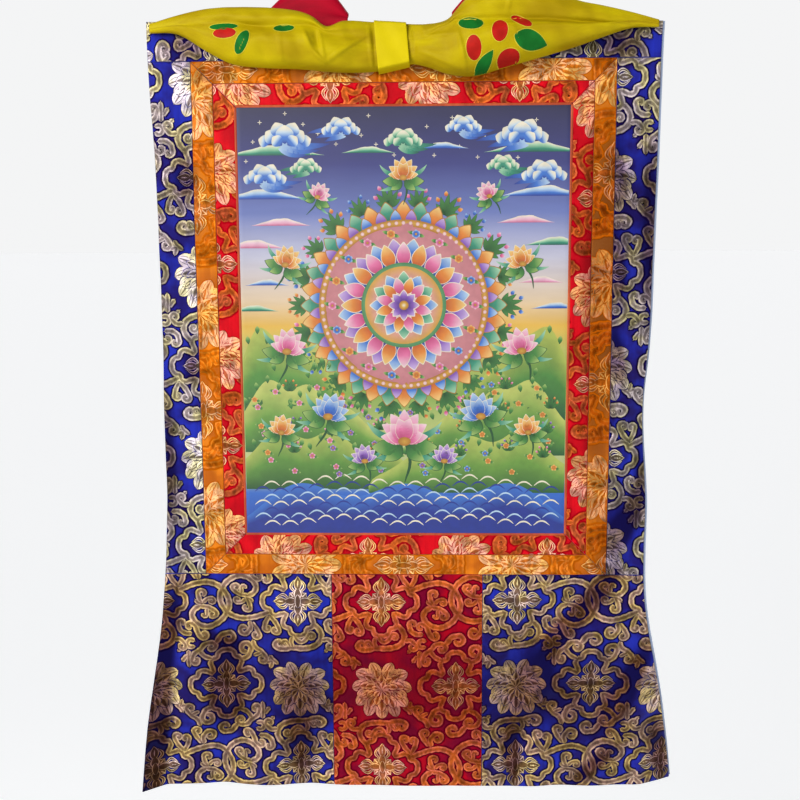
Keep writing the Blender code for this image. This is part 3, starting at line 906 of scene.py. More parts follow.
def ribbon(work, line, half_width, metal=0.0, ends=ROUND, lift=0.0, taper=(1.0, 1.0), section="scroll",
           step=STEP_LENGTH):
    """A raised ribbon along a line, in millimetres with down positive, added to a bmesh in metres."""
    half = SECTIONS[section]
    rows = [(-1, *row) for row in half] + [(1, *row) for row in half[-2::-1]]
    length = np.hypot(*np.diff(line, axis=0).T).sum()
    marks = ribbon_marks(length, half_width, ends, step)
    widths = ribbon_widths(marks, length, half_width, ends, taper)
    shadow_ring = half[0][1]
    if ends and shadow_ring:
        marks = np.concatenate(((-shadow_ring,), marks, (length + shadow_ring,)))
        widths = np.concatenate(((0.0,), widths, (0.0,)))
    places, headings = along_line(line, marks)
    made = bmesh.ops.create_grid(work, x_segments=len(marks) - 1, y_segments=len(rows) - 1, size=0.5)
    raised = work.verts.layers.float["raised"]
    metallic = work.verts.layers.float["metal"]
    for vertex in made["verts"]:
        column = round((vertex.co.x + 0.5) * (len(marks) - 1))
        side, share, further, height, up = rows[round((0.5 - vertex.co.y) * (len(rows) - 1))]
        beyond = not 0 <= marks[column] <= length
        if beyond:
            height, up, further = 0.0, half[0][3], END_SHADOW_RING * max(further, 0.0)
        off = side * max(share * widths[column] + further, LEAST_SHARE * share * widths[column])
        x = places[column][0] - headings[column][1] * off
        down = places[column][1] + headings[column][0] * off
        vertex[raised] = height
        vertex[metallic] = metal
        vertex.co = (x * MM, -down * MM, up * MM + lift)
    bmesh.ops.remove_doubles(work, verts=made["verts"], dist=1e-6)


def new_ribbons():
    """An empty bmesh that can take ribbons."""
    work = bmesh.new()
    work.verts.layers.float.new("raised")
    work.verts.layers.float.new("metal")
    return work


def leaf(work, base, tip, half_width, bend=0.0, lift=0.0, ends=POINTED, section="petal", metal=1.0):
    """A pointed leaf or petal from base to tip, bent to one side."""
    base, tip = np.array(base, float), np.array(tip, float)
    run = tip - base
    middle = (base + tip) / 2 + bend * np.array((-run[1], run[0]))
    ribbon(work, smooth_line((base, middle, tip), 6), half_width, metal, ends, lift, section=section,
           step=PETAL_STEP)


print("ribbon sections:", list(SECTIONS))

# %% [markdown]
# One repeat of the pattern is drawn flat, once.  Its places are in millimetres, right and down from the
# middle of a cross.  The scrolls look the same when the cloth is turned round by half, so each row of the
# table is drawn twice: as it stands, and turned about the cross.

# %% One repeat of the brocade
REPEAT_WIDTH = 168.0
REPEAT_HEIGHT = 200.0
SCROLL = 2.7
SCROLL_LEVELS = 3
SCROLL_LEVEL = 0.03
CURL_TIGHT = 0.88
CURL_END = 1.12
PLAIN_END = 0.95
QUATREFOIL_LOBE = (
    # right and down from the middle of the cross
    (14.5, 13.5), (20.0, 15.5), (26.0, 17.5), (30.5, 15.0), (32.0, 10.0), (37.0, 8.5), (40.0, 4.5),
    (40.5, 0.0), (40.0, -4.5), (37.0, -8.5), (32.0, -10.0), (30.5, -15.0), (26.0, -17.5), (20.0, -15.5),
)
SCROLLS = (
    # half width, curl at the start, places, curl at the end; a curl is its radius and its turns
    (3.1, None, ((33, -13), (42, -17), (53, -21), (66, -22.5), (78, -18), (86, -8), (89, 3), (86, 15),
                 (78, 25), (66, 30.5), (54, 27), (47.5, 18), (50, 10), (58, 5)), None),
    (2.5, None, ((59, 4), (56, -2), (54.5, -8)), (4.8, 0.75)),
    (2.1, None, ((60, 3), (54.5, 2), (51.5, -1.5)), None),
    (2.2, None, ((60, 2), (64, -2), (69, -3)), (3.7, 0.8)),
    (2.6, None, ((57, 6), (66, 8), (73, 13)), (4.4, 0.8)),
    (2.1, None, ((64, 9), (64, 16)), (3.0, 0.6)),
    (3.1, None, ((17, 27), (22.5, 32), (26, 40), (23, 48.5), (15, 53.5), (4, 55), (-7, 54.5), (-16, 57),
                 (-23, 56.5)), (5.2, 0.8)),
    (2.4, None, ((-4, 39.5), (-1.5, 45), (4, 47.5), (9, 43.5), (11.5, 39)), (4.0, 0.85)),
    (2.3, None, ((-6, 54), (-8, 48), (-7, 42)), None),
    (2.2, None, ((-9, 53), (-13, 48)), (3.6, -0.75)),
    (2.5, None, ((-33, 18), (-37, 25), (-39, 32)), (4.0, -0.8)),
    (2.6, None, ((-32, 18), (-26, 25), (-22, 33)), (4.6, 0.8)),
    (2.8, None, ((47, 37.5), (40, 38), (33.5, 34), (31.5, 27)), (4.0, 0.7)),
    (2.8, (4.2, -0.8), ((57, 42), (53.5, 36), (51, 29), (47, 26)), (4.0, -0.7)),
    (2.6, None, ((26, 46), (33, 45.5), (38.5, 50)), (4.6, 0.8)),
    (2.3, None, ((34, 56), (30, 60)), None),
    (2.4, None, ((50, 46.5), (45, 45), (41.5, 49), (44, 53.5), (50, 53)), None),
    (2.3, None, ((43, 58), (42.5, 68), (43, 78)), None),
    (2.3, None, ((35, 71.5), (39, 66.5), (43, 63)), None),
    (2.8, (4.4, -0.8), ((46.5, 69), (49, 62), (56, 57), (61, 51), (68, 50)), (5.2, 0.8)),
    (2.5, None, ((55, 59), (61, 66), (69, 69.5)), None),
    (3.0, None, ((70, 53), (75, 47.5), (79, 42), (86, 40)), (6.4, 0.8)),
    (3.0, None, ((101, 72), (108, 69), (112, 62)), (7.5, -0.9)),
    (2.8, None, ((-56, 26), (-55, 34), (-59, 40)), (6.0, 0.85)),
    (2.6, None, ((-54, 27), (-49, 33), (-45, 40)), (4.6, 0.8)),
    (2.8, None, ((-53, 49), (-50, 57), (-43, 62), (-38, 68)), (4.8, 0.8)),
    (2.1, None, ((-44, 63), (-52, 67)), None),
    (2.3, None, ((-33.5, 66), (-30, 71), (-24, 75.5)), None),
    (2.3, None, ((-37, 75), (-31, 73), (-33, 81)), None),
)
ROSETTE_DOWN = 105.0
ROSETTE_PETALS = (
    # angle from straight up, outer radius, half width; each but the first and last on both sides
    (0, 27.0, 5.4), (20, 34.5, 6.4), (37, 30.5, 4.6), (54, 36.0, 7.4), (88, 33.5, 7.2), (106, 29.0, 4.8),
    (124, 34.0, 6.8), (152, 36.0, 6.6), (180, 34.5, 7.0),
)
ROSETTE_RINGS = (
    # petals, first angle, inner radius, outer radius, half width, lift in mm
    (11, 16.0, 6.0, 26.0, 4.6, 0.32),
    (9, 0.0, 3.0, 19.0, 3.9, 0.48),
    (7, 18.0, 0.5, 12.0, 3.0, 0.64),
)
ROSETTE_BEND = 0.16
ROSETTE_SHINE = 0.72
BUD_ARMS = (
    # angle from straight up, reach
    (0, 29.0), (90, 27.5), (180, 29.0), (270, 27.5),
)


def turned(place, angle):
    """A place turned clockwise by an angle in degrees, where down is positive."""
    angle = math.radians(angle)
    x, down = place
    return x * math.cos(angle) - down * math.sin(angle), x * math.sin(angle) + down * math.cos(angle)


def shifted(line, middle):
    """A list of places moved to a new middle."""
    return np.array(line, float) + np.array(middle, float)


def draw_quatrefoil(work, middle):
    """The scalloped frame round a cross, as one closed ribbon."""
    loop = [turned(place, angle) for angle in (90, 0, 270, 180) for place in QUATREFOIL_LOBE]
    loop = shifted(loop + loop[:3], middle)
    line = smooth_line(loop, 5)[5:-5]
    ribbon(work, line, SCROLL, ends=None)


def draw_cross(work, middle):
    """A cross of four buds between crescents, on a lobed body with an oval at its heart."""
    for angle, reach in BUD_ARMS:
        def at(side, out):
            return shifted(turned((side, -out), angle), middle)
        leaf(work, at(0, 0.0), at(0, 17.5), 6.6)
        leaf(work, at(0, 13.0), at(0, reach), 4.4, 0.0, 0.10 * MM)
        leaf(work, at(0, 16.5), at(0, reach - 3.5), 1.2, 0.0, 0.30 * MM, section="line")
        for side in (-1, 1):
            crescent = smooth_line((at(side * 3.0, 10.5), at(side * 7.8, 17.0), at(side * 3.6, 25.0)), 6)
            ribbon(work, crescent, 1.5, 1.0, POINTED, 0.12 * MM, section="petal", step=2.0)
            vein = smooth_line((at(side * 2.6, 3.5), at(side * 4.2, 8.5), at(side * 1.4, 15.0)), 4)
            ribbon(work, vein, 0.55, 1.0, POINTED, 0.30 * MM, section="line")
    for angle in (45, 135, 225, 315):
        tip = shifted(turned((0, -13.5), angle), middle)
        leaf(work, shifted((0, 0), middle), tip, 5.2, 0.0, 0.03 * MM)
        leaf(work, shifted(turned((0, -7.0), angle), middle), tip, 1.1, 0.0, 0.30 * MM, section="line")
    leaf(work, shifted((0, 7.5), middle), shifted((0, -7.5), middle), 3.4, 0.0, 0.20 * MM, OVAL)


def draw_petal(work, middle, angle, near, far, half_width, lift, section):
    """One petal of the lotus, grooved along its length and bent down at its sides."""
    base, tip = (shifted(turned((0, -reach), angle), middle) for reach in (near, far))
    bend = -ROSETTE_BEND * math.sin(math.radians(angle))
    leaf(work, base, tip, half_width, bend, lift * MM, BROAD if section == "flower" else FULL, section,
         ROSETTE_SHINE)


def draw_rosette(work, middle):
    """A lotus flower seen from above: rings of petals over one another."""
    for number, (angle, far, half_width) in enumerate(ROSETTE_PETALS):
        for side in (1, -1) if 0 < angle < 180 else (1,):
            draw_petal(work, middle, side * angle, 7.0, far, half_width, 0.07 * (3 * number % 4), "flower")
    for count, first, near, far, half_width, lift in ROSETTE_RINGS:
        for number in range(count):
            draw_petal(work, middle, first + 360 * number / count, near, far, half_width, lift, "feather")


def draw_scrolls(work):
    """All the scrolls of one repeat, each as it stands and turned by half, on a few levels."""
    for number, (half_width, start, places, end) in enumerate(SCROLLS):
        line = smooth_line(places)
        taper = (CURL_END if start else PLAIN_END, CURL_END if end else PLAIN_END)
        if end:
            line = curl(line, CURL_TIGHT * end[0], end[1])
        if start:
            line = curl(line[::-1], CURL_TIGHT * start[0], start[1])[::-1]
        for sign in (1, -1):
            lift = number % SCROLL_LEVELS * SCROLL_LEVEL * MM
            ribbon(work, sign * line, half_width, lift=lift, taper=taper)


def make_repeat():
    """One repeat of the brocade, flat: x across, y up, z out of the cloth, in metres."""
    work = new_ribbons()
    half_drop = (REPEAT_WIDTH / 2, REPEAT_HEIGHT / 2)
    draw_scrolls(work)
    for middle in ((0.0, 0.0), half_drop):
        draw_quatrefoil(work, middle)
        draw_cross(work, middle)
    draw_rosette(work, (0.0, ROSETTE_DOWN))
    return mesh_of("repeat", work)


repeat = make_repeat()
print("faces in one repeat:", len(repeat.polygons))

# %% [markdown]
# Each piece of cloth was cut from the bolt on its own, so the pattern starts elsewhere on each, and it
# runs sideways on the strips above and below the painting.  The repeat is copied over the piece, cut
# along the piece's edges with bisect_plane, and only then hung on the folds.  A mount piece with bowed
# edges is first straightened, so that a straight cut follows them.

# %% Laying the pattern on the cloth
PATTERN_MARGIN = 0.0004
LAID = (
    # node, middle of a cross (x, z), turn in degrees, scale across, scale along
    ("blue_left", (-0.2147, -0.3620), 0, 1.0, 1.015),
    ("blue_right", (0.2135, -0.2615), 0, 1.0, 1.015),
    ("blue_top", (-0.2010, -0.0480), 90, 1.0, 1.0),
    ("lower_left", (-0.1213, -0.6300), 0, 1.0, 0.985),
    ("lower_centre", (-0.0270, -0.6307), 0, 1.0, 0.985),
    ("lower_right", (0.1258, -0.6277), 0, 1.0, 0.985),
    ("red_left", (-0.2075, -0.2510), 0, 1.0, 1.0),
    ("red_right", (0.2130, -0.3835), 0, 1.0, 1.0),
    ("red_top", (-0.0768, -0.0550), 90, 1.0, 1.0),
    ("red_bottom", (-0.0416, -0.5830), 90, 1.0, 1.0),
    ("orange_left", (-0.2220, -0.4115), 0, 1.1, 1.12),
    ("orange_right", (0.2236, -0.3810), 0, 1.1, 1.12),
    ("orange_top", (0.0400, -0.0475), 90, 1.1, 1.13),
    ("orange_bottom", (-0.0015, -0.5875), 90, 1.1, 1.16),
)


def tiled(box, middle, turn, across, along):
    """Copies of the repeat over a box of cloth (left, bottom, right, top), joined in one bmesh."""
    place = (Matrix.Translation((middle[0], middle[1], 0)) @ Matrix.Rotation(math.radians(turn), 4, "Z")
             @ Matrix.Diagonal((across, along, 1, 1)))
    corners = [place.inverted() @ Vector((x, z, 0)) for x in (box[0], box[2]) for z in (box[1], box[3])]
    spans = []
    for axis, size in ((0, REPEAT_WIDTH * MM), (1, REPEAT_HEIGHT * MM)):
        values = [corner[axis] / size for corner in corners]
        spans.append(range(math.floor(min(values)) - 1, math.ceil(max(values)) + 2))
    work = bmesh.new()
    for column in spans[0]:
        for row in spans[1]:
            shift = place @ Matrix.Translation((column * REPEAT_WIDTH * MM, row * REPEAT_HEIGHT * MM, 0))
            known = len(work.verts)
            work.from_mesh(repeat)
            work.verts.ensure_lookup_table()
            bmesh.ops.transform(work, matrix=shift, verts=work.verts[known:])
    return work


def cut_away(work, point, outwards):
    """Cuts a bmesh along a line and clears what lies beyond it."""
    bmesh.ops.bisect_plane(work, geom=work.verts[:] + work.edges[:] + work.faces[:], dist=1e-7,
                           plane_co=(*point, 0), plane_no=(*outwards, 0), clear_outer=True)


def clear_outside(work, box):
    """Deletes the faces that lie wholly outside a box, so that the cuts have little to do."""
    left, bottom, right, top = box
    gone = [face for face in work.faces
            if all(v.co.x < left for v in face.verts) or all(v.co.x > right for v in face.verts)
            or all(v.co.y < bottom for v in face.verts) or all(v.co.y > top for v in face.verts)]
    bmesh.ops.delete(work, geom=gone, context="FACES")


def hang_pattern(name, work, finish, front):
    """A cut pattern hung on the front of its cloth, as the piece that lies on it."""
    mesh = mesh_of(name + "_pattern", work)
    flat = points_of(mesh)
    keep_cloth_map(mesh, flat)
    keep_painted_shade(mesh, flat)
    x, z, lift = flat.T
    put_points(mesh, hang(x, edge_z(x, z), -(front + lift)))
    return show(name + "_pattern", mesh, finish)


def straighten(work, name, there):
    """Moves a mount piece's pattern to straight sides, at x = 0 and 1, or back again."""
    left, right, top, bottom = MOUNT_PIECES[name]
    points = np.array([vertex.co for vertex in work.verts])
    start, end = side_lines(left, right, points[:, 1], PATTERN_MARGIN)
    if there:
        points[:, 0] = (points[:, 0] - start) / (end - start)
    else:
        points[:, 0] = start + points[:, 0] * (end - start)
    for vertex, point in zip(work.verts, points):
        vertex.co = point


def mount_pattern(name, finish, layout):
    """The pattern on a piece of the mount."""
    left, right, top, bottom = MOUNT_PIECES[name]
    heights = np.linspace(bottom, top, 9)
    start, end = side_lines(left, right, heights)
    box = (start.min(), bottom, end.max(), top)
    work = tiled(box, *layout)
    clear_outside(work, box)
    cut_away(work, (0, top - PATTERN_MARGIN), (0, 1))
    cut_away(work, (0, bottom + PATTERN_MARGIN), (0, -1))
    straighten(work, name, True)
    cut_away(work, (0, 0), (-1, 0))
    cut_away(work, (1, 0), (1, 0))
    straighten(work, name, False)
    return hang_pattern(name, work, finish, CLOTH)


def strip_pattern(border, side, finish, layout, front):
    """The pattern on a strip of a border, cut to its mitred ends."""
    inner, outer = border_edges[border]
    corners = [Vector(strip_corner(side, inner, outer, along, outwards))
               for along, outwards in ((-1, 0), (1, 0), (1, 1), (-1, 1))]
    xs, zs = [corner.x for corner in corners], [corner.y for corner in corners]
    box = (min(xs), min(zs), max(xs), max(zs))
    work = tiled(box, *layout)
    clear_outside(work, box)
    centre = sum(corners, Vector((0, 0))) / 4
    for here, there in zip(corners, corners[1:] + corners[:1]):
        outwards = Vector((there.y - here.y, here.x - there.x)).normalized()
        if (centre - here).dot(outwards) > 0:
            outwards.negate()
        cut_away(work, here - outwards * PATTERN_MARGIN, outwards)
    return hang_pattern(f"{border}_{side}", work, finish, front)


# %% [markdown]
# The threads of the pattern are wrapped in metal foil.  A ribbon has bright edges and a duller middle,
# and the crosses and flowers are brighter again.  One even gold would be simpler, but worn threads are
# told by their unevenness.  So four things set the colour: how high the thread lies, whether it belongs
# to a flower, soft clouds of wear and of painted sheen, and painted shade where a fold turns from the
# light.  Round each thread a painted shadow fades into the ground.  The gold is paler beside the painting
# than below it.

# %% Thread finishes
# how high a thread lies where it turns from ground to painted shadow, to rim and to core
SHADOW_RING_FROM_TO = (0.02, 0.24)
RIM_FROM_TO = (0.34, 0.42)
CORE_FROM_TO = (0.60, 0.80)
# soft clouds: from, to, scale, detail, stretch
TINT_CLOUDS = (0.40, 0.60, 44.0, 2.0)
GLINT_CLOUDS = (0.42, 0.60, 210.0, 3.0, (1.0, 0.6, 1.0))
# wear clouds: uneven wear of the threads, and painted sheen that comes and goes over the folds
WEAR_AND_SHEEN_CLOUDS = (0.42, 0.62, 52.0, 3.0)
ROSY = (1.0, 0.91, 1.18)
YELLOWED = (1.0, 0.94, 0.64)
GLINT_DARK = 0.50
WEAR_AND_SHEEN_DARK = 0.62
DARKENED = (0.22, 0.22, 0.22)
THREAD_ROUGHNESS = 0.34
THREAD_DEPTH = 0.00012
THREAD_PITCHES = (0.00060, 0.00036)


def darkened(tree, colour, where, most):
    """A colour made darker, by up to a share, where a value is high."""
    return mix_colour(tree, part_of(tree, where, most), colour, scaled(tree, colour, DARKENED))


def scaled(tree, colour, other):
    """A colour times another one, which is a socket or three shares."""
    times = node(tree, "ShaderNodeMix", data_type="RGBA", blend_type="MULTIPLY")
    times.inputs[0].default_value = 1.0
    tree.links.new(colour, times.inputs[6])
    if isinstance(other, tuple):
        times.inputs[7].default_value = (*other, 1.0)
    else:
        tree.links.new(other, times.inputs[7])
    return times.outputs[2]


def thread_finish(name, ground, shadow_ring, rim, core, flower_rim, flower_core, shade_tint, metallic):
    """The metal or silk threads of a brocade's pattern, ringed by a painted shadow that fades into the
    ground.
    """
    finish, tree, shader = new_material(name, THREAD_ROUGHNESS, Metallic=metallic, Specular_IOR_Level=0.0)
    height = corner_value(tree, "raised")
    flower = corner_value(tree, "metal")
    core_share = ranged(tree, height, *CORE_FROM_TO)
    rim_share = ranged(tree, height, *RIM_FROM_TO)
    edges = mix_colour(tree, flower, rim, flower_rim)
    middles = mix_colour(tree, flower, core, flower_core)
    tone = mix_colour(tree, core_share, edges, middles)
    tone = scaled(tree, tone, mix_colour(tree, uneven(tree, *TINT_CLOUDS), ROSY, YELLOWED))
    glints = uneven(tree, *GLINT_CLOUDS)
    # soft clouds of wear and of painted sheen darken the threads here and there
    cloudy = uneven(tree, *WEAR_AND_SHEEN_CLOUDS)
    tone = darkened(tree, tone, glints, GLINT_DARK)
    tone = darkened(tree, tone, cloudy, WEAR_AND_SHEEN_DARK)
    # painted shade: the threads turn darker and browner where a fold turns from the light
    shaded = scaled(tree, tone, shade_tint)
    tone = mix_colour(tree, ranged(tree, corner_value(tree, "painted_shade"), 0.0, 1.0), tone, shaded)
    # painted shadow: a dark ring round each raised thread, fading into the satin ground
    around = mix_colour(tree, ranged(tree, height, *SHADOW_RING_FROM_TO), satin_tone(tree, *ground), shadow_ring)
    tree.links.new(mix_colour(tree, rim_share, around, tone), shader.inputs["Base Color"])
    weave(tree, shader, THREAD_DEPTH, *THREAD_PITCHES)
    return finish


THREADS = {
    # cloth: name, ground, painted shadow, rim, core, flower's rim, flower's core, tint in painted shade,
    # metal
    "lower": ("gold thread", BLUES, (0.0040, 0.0014, 0.022), (0.64, 0.49, 0.275), (0.270, 0.180, 0.108),
              (1.0, 0.86, 0.60), (0.195, 0.125, 0.072), (0.26, 0.170, 0.19), 0.6),
    "blue": ("pale gold thread", BLUES, (0.0040, 0.0014, 0.022), (0.56, 0.53, 0.41), (0.235, 0.210, 0.165),
             (0.92, 0.90, 0.80), (0.18, 0.15, 0.110), (0.26, 0.190, 0.26), 0.6),
    "crimson": ("orange thread on crimson", CRIMSONS, (0.070, 0.0004, 0.006), (0.72, 0.172, 0.074),
                (0.46, 0.100, 0.024), (0.98, 0.58, 0.34), (0.40, 0.130, 0.045), (0.40, 0.22, 0.22), 0.3),
    "red": ("orange thread on red", REDS, (0.240, 0.0012, 0.005), (0.64, 0.130, 0.034),
            (0.40, 0.082, 0.020), (1.0, 0.58, 0.34), (0.40, 0.115, 0.040), (0.42, 0.24, 0.24), 0.25),
    "orange": ("pale thread on orange", ORANGES, (0.320, 0.065, 0.0015), (0.68, 0.210, 0.020),
               (0.56, 0.135, 0.006), (0.98, 0.62, 0.25), (0.56, 0.175, 0.022), (0.48, 0.36, 0.30), 0.25),
}
THREAD_FINISHES = {cloth: thread_finish(*row) for cloth, row in THREADS.items()}
SLOTS = {"blue": "blue_brocade", "lower": "blue_brocade", "crimson": "crimson_brocade",
         "red": "red_brocade", "orange": "orange_brocade"}
FRONTS = {name: thickness for name, width, finish, slot, thickness, faces in BORDERS}

patterns = {}
for name, middle, turn, across, along in LAID:
    family, side = name.split("_")
    cloth = "crimson" if name == "lower_centre" else family
    finish, slot, layout = THREAD_FINISHES[cloth], SLOTS[cloth], (middle, turn, across, along)
    if name in MOUNT_PIECES:
        patterns[name] = mount_pattern(name, finish, layout)
    else:
        patterns[name] = strip_pattern(family, side, finish, layout, FRONTS[family])
    print(name, "pattern faces:", len(patterns[name].data.polygons))

# %% [markdown]
# The picture is painted on a fine cotton cloth.  Here it is a picture of its own: a wheel of lotus petals
# over hills and water, with clouds and flowers round it.  A painter would lay it in flat colours and then
# shade each one.  The sky and land are a colour ramp on the cloth, and each petal or cloud is a thin
# painted shape whose colour runs from one end to the other.

# %% The painted cloth
PAINT_STRENGTH = 0.57


def paint(red, green, blue):
    """A pigment given as it looks, 0 to 255, as the linear colour that shaders use."""
    return tuple(PAINT_STRENGTH * (value / 255) ** 2.2 for value in (red, green, blue))


SKY_AND_LAND = (
    # height as a share of the picture from its bottom, colour
    (0.00, paint(22, 56, 160)),
    (0.10, paint(50, 110, 210)),
    (0.135, paint(170, 192, 140)),
    (0.22, paint(204, 210, 136)),
    (0.34, paint(140, 176, 76)),
    (0.44, paint(196, 200, 104)),
    (0.50, paint(240, 190, 76)),
    (0.56, paint(236, 210, 176)),
    (0.66, paint(204, 204, 226)),
    (0.76, paint(112, 128, 196)),
    (0.87, paint(58, 62, 132)),
    (1.00, paint(36, 34, 76)),
)
CANVAS_COLUMNS = 72
CANVAS_ROWS = 94
CANVAS_PITCH = 0.00045
CANVAS_DEPTH = 0.00003
# soft clouds: from, to, scale, detail, stretch
BRUSHED_GROUND = (0.35, 0.65, 30.0, 4.0, (0.4, 2.0, 1.0))
GROUND_DARKER = 0.10


def place_painting(across, down):
    """The painted cloth's places."""
    x = (PAINTING_WIDTH - SEAM) * (across - 0.5)
    z = PAINTING_MIDDLE + (PAINTING_HEIGHT - SEAM) * (0.5 - down)
    return hang(x, z), np.stack((x, z), 1)


def painted_ground():
    """Fine cotton under a ramp of sky, hills and water."""
    finish, tree, shader = new_material("painted ground", 0.55)
    parts = node(tree, "ShaderNodeSeparateXYZ")
    tree.links.new(cloth_place(tree), parts.inputs[0])
    height = node(tree, "ShaderNodeMapRange")
    height.inputs["From Min"].default_value = PAINTING_MIDDLE - PAINTING_HEIGHT / 2
    height.inputs["From Max"].default_value = PAINTING_MIDDLE + PAINTING_HEIGHT / 2
    tree.links.new(parts.outputs["Y"], height.inputs["Value"])
    ramp = node(tree, "ShaderNodeValToRGB")
    for place, colour in SKY_AND_LAND[1:-1]:
        ramp.color_ramp.elements.new(place)
    for stop, (place, colour) in zip(ramp.color_ramp.elements, SKY_AND_LAND):
        stop.position = place
        stop.color = (*colour, 1.0)
    tree.links.new(height.outputs["Result"], ramp.inputs["Fac"])
    brushed = uneven(tree, *BRUSHED_GROUND)
    tree.links.new(darkened(tree, ramp.outputs["Color"], brushed, GROUND_DARKER),
                   shader.inputs["Base Color"])
    weave(tree, shader, CANVAS_DEPTH, CANVAS_PITCH, CANVAS_PITCH)
    return finish


painting = cloth_piece("painting_cloth", CANVAS_COLUMNS, CANVAS_ROWS, place_painting, painted_ground())
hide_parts("painting")
print("painted cloth faces:", len(painting.data.polygons))

# %% [markdown]
# Every painted shape is a small grid that a function lays out.  It takes a petal, a disc or a hill, in
# millimetres from the middle of the picture with up positive, and gives each corner its colour.  The
# shapes lie in thin layers, so that a later one covers an earlier one, as paint does.

# %% Painted shapes
LAYER = 0.016 * MM
picture = bmesh.new()
pigment = picture.verts.layers.float_color.new("pigment")


def paint_grid(columns, rows, place, colours, layer):
    """A painted shape: place(s, t) gives its places, and colours its pigments along t."""
    made = bmesh.ops.create_grid(picture, x_segments=columns, y_segments=rows, size=0.5)
    corners = made["verts"]
    shares = np.array([corner.co.xy for corner in corners]) + 0.5
    xs, heights = place(shares[:, 0], shares[:, 1])
    stops = np.linspace(0, 1, len(colours))
    channels = [np.interp(shares[:, 1], stops, [colour[axis] for colour in colours]) for axis in range(3)]
    for corner, x, height, red, green, blue in zip(corners, xs, heights, *channels):
        corner.co = (x * MM, PAINTING_MIDDLE + height * MM, layer * LAYER)
        corner[pigment] = (red, green, blue, 1.0)


def disc(middle, radius, colours, layer, hole=0.0, around=24, rows=2, squash=1.0):
    """A round spot, or a ring: its colours run outwards."""
    def place(s, t):
        angle, reach = 2 * math.pi * s, hole + (radius - hole) * t
        return middle[0] - reach * np.cos(angle), middle[1] + squash * reach * np.sin(angle)
    paint_grid(around, rows, place, colours, layer)


def petal(middle, angle, near, far, half_width, colours, layer, rim=None, point=0.8, bend=0.0, inset=1.1,
          grid=(4, 8)):
    """A petal that points away from a middle: its colours run from base to tip."""
    turn = math.radians(angle)
    out, side = (math.sin(turn), math.cos(turn)), (math.cos(turn), -math.sin(turn))

    def shape(near, far, half_width):
        def place(s, t):
            reach = near + (far - near) * t
            width = half_width * np.sin(math.pi * np.clip(t, 0.012, 0.988) ** point) ** 0.75
            off = (2 * s - 1) * width + bend * (far - near) * 4 * t * (1 - t)
            return middle[0] + reach * out[0] + off * side[0], middle[1] + reach * out[1] + off * side[1]
        return place

    if rim:
        paint_grid(*grid, shape(near, far, half_width), (rim, rim), layer)
        near, far, half_width = near + inset, far - 1.6 * inset, half_width - inset
    paint_grid(*grid, shape(near, far, half_width), colours, layer + (1 if rim else 0))


def hill(left, right, foot, bumps, colours, layer):
    """A stretch of hill or cloud: its top is a row of bumps, (where, height, half width)."""
    columns = max(12, round((right - left) / 4))

    def place(s, t):
        x = left + (right - left) * s
        top = foot + sum(height * np.exp(-((x - where) / width) ** 2) for where, height, width in bumps)
        return x, foot + (top - foot) * t * np.sin(math.pi * np.clip(s, 0.001, 0.999)) ** 0.25
    paint_grid(columns, 6, place, colours, layer)


def stroke(points, half_width, colour, layer, steps=4):
    """A painted line through a few places, thin at both ends."""
    line = smooth_line(points, steps)
    length = np.hypot(*np.diff(line, axis=0).T).sum()
    places, headings = along_line(line, np.linspace(0, length, len(line)))

    def place(s, t):
        index = np.rint(t * (len(places) - 1)).astype(int)
        width = half_width * (0.25 + 0.75 * np.sin(math.pi * t))
        off = (2 * s - 1) * width
        return places[index, 0] + headings[index, 1] * off, places[index, 1] - headings[index, 0] * off
    paint_grid(2, len(places) - 1, place, (colour, colour), layer)


GOLD_PAINT = paint(222, 168, 62)
DEEP_GOLD = paint(180, 118, 30)
CREAM = paint(250, 240, 214)
PINK = (paint(196, 40, 110), paint(236, 120, 170), paint(252, 214, 226))
ROSE_PINK = (paint(206, 96, 140), paint(236, 168, 196), paint(246, 206, 222))
BLUE = (paint(24, 50, 150), paint(60, 120, 214), paint(190, 220, 246))
PURPLE = (paint(74, 36, 130), paint(140, 90, 190), paint(214, 186, 236))
ORANGE = (paint(196, 66, 20), paint(236, 140, 50), paint(252, 214, 130))
TEAL = (paint(10, 90, 80), paint(50, 150, 120), paint(170, 220, 180))
LEAF_GREEN = (paint(18, 84, 40), paint(70, 140, 60), paint(170, 200, 110))
print("layer of paint, mm:", LAYER / MM)

# %% [markdown]
# The wheel in the middle is built from rings of petals.  Each ring is one loop, with the petals turned a
# little further each time.  Drawing one petal and copying it with Array would do as well, but then the
# colours could not change from petal to petal.

# %% The wheel of petals
WHEEL = (0.0, 22.0)
WHEEL_RINGS = (
    # petals, start angle, near, far, half width, colours in turn, layer
    (36, 0.0, 88.0, 112.0, 8.6, (ORANGE, TEAL), 2),
    (36, 5.0, 84.0, 103.0, 6.4, (PURPLE, BLUE), 4),
    (20, 9.0, 44.0, 72.0, 9.6, (BLUE, PURPLE), 11),
    (20, 0.0, 42.0, 68.0, 8.0, (PINK, ORANGE), 13),
    (12, 0.0, 14.0, 37.0, 7.8, (TEAL, BLUE), 18),
    (12, 15.0, 12.0, 31.0, 6.0, (ORANGE, PINK), 20),
    (8, 0.0, 3.0, 17.0, 4.8, (PURPLE,), 23),
)
PEARLS = 72
PEARL_REACH = 88.2
RING_FLOWERS = 18
RING_FLOWER_REACH = 77.5
BUSHES = 22
BUSH_REACH = 106


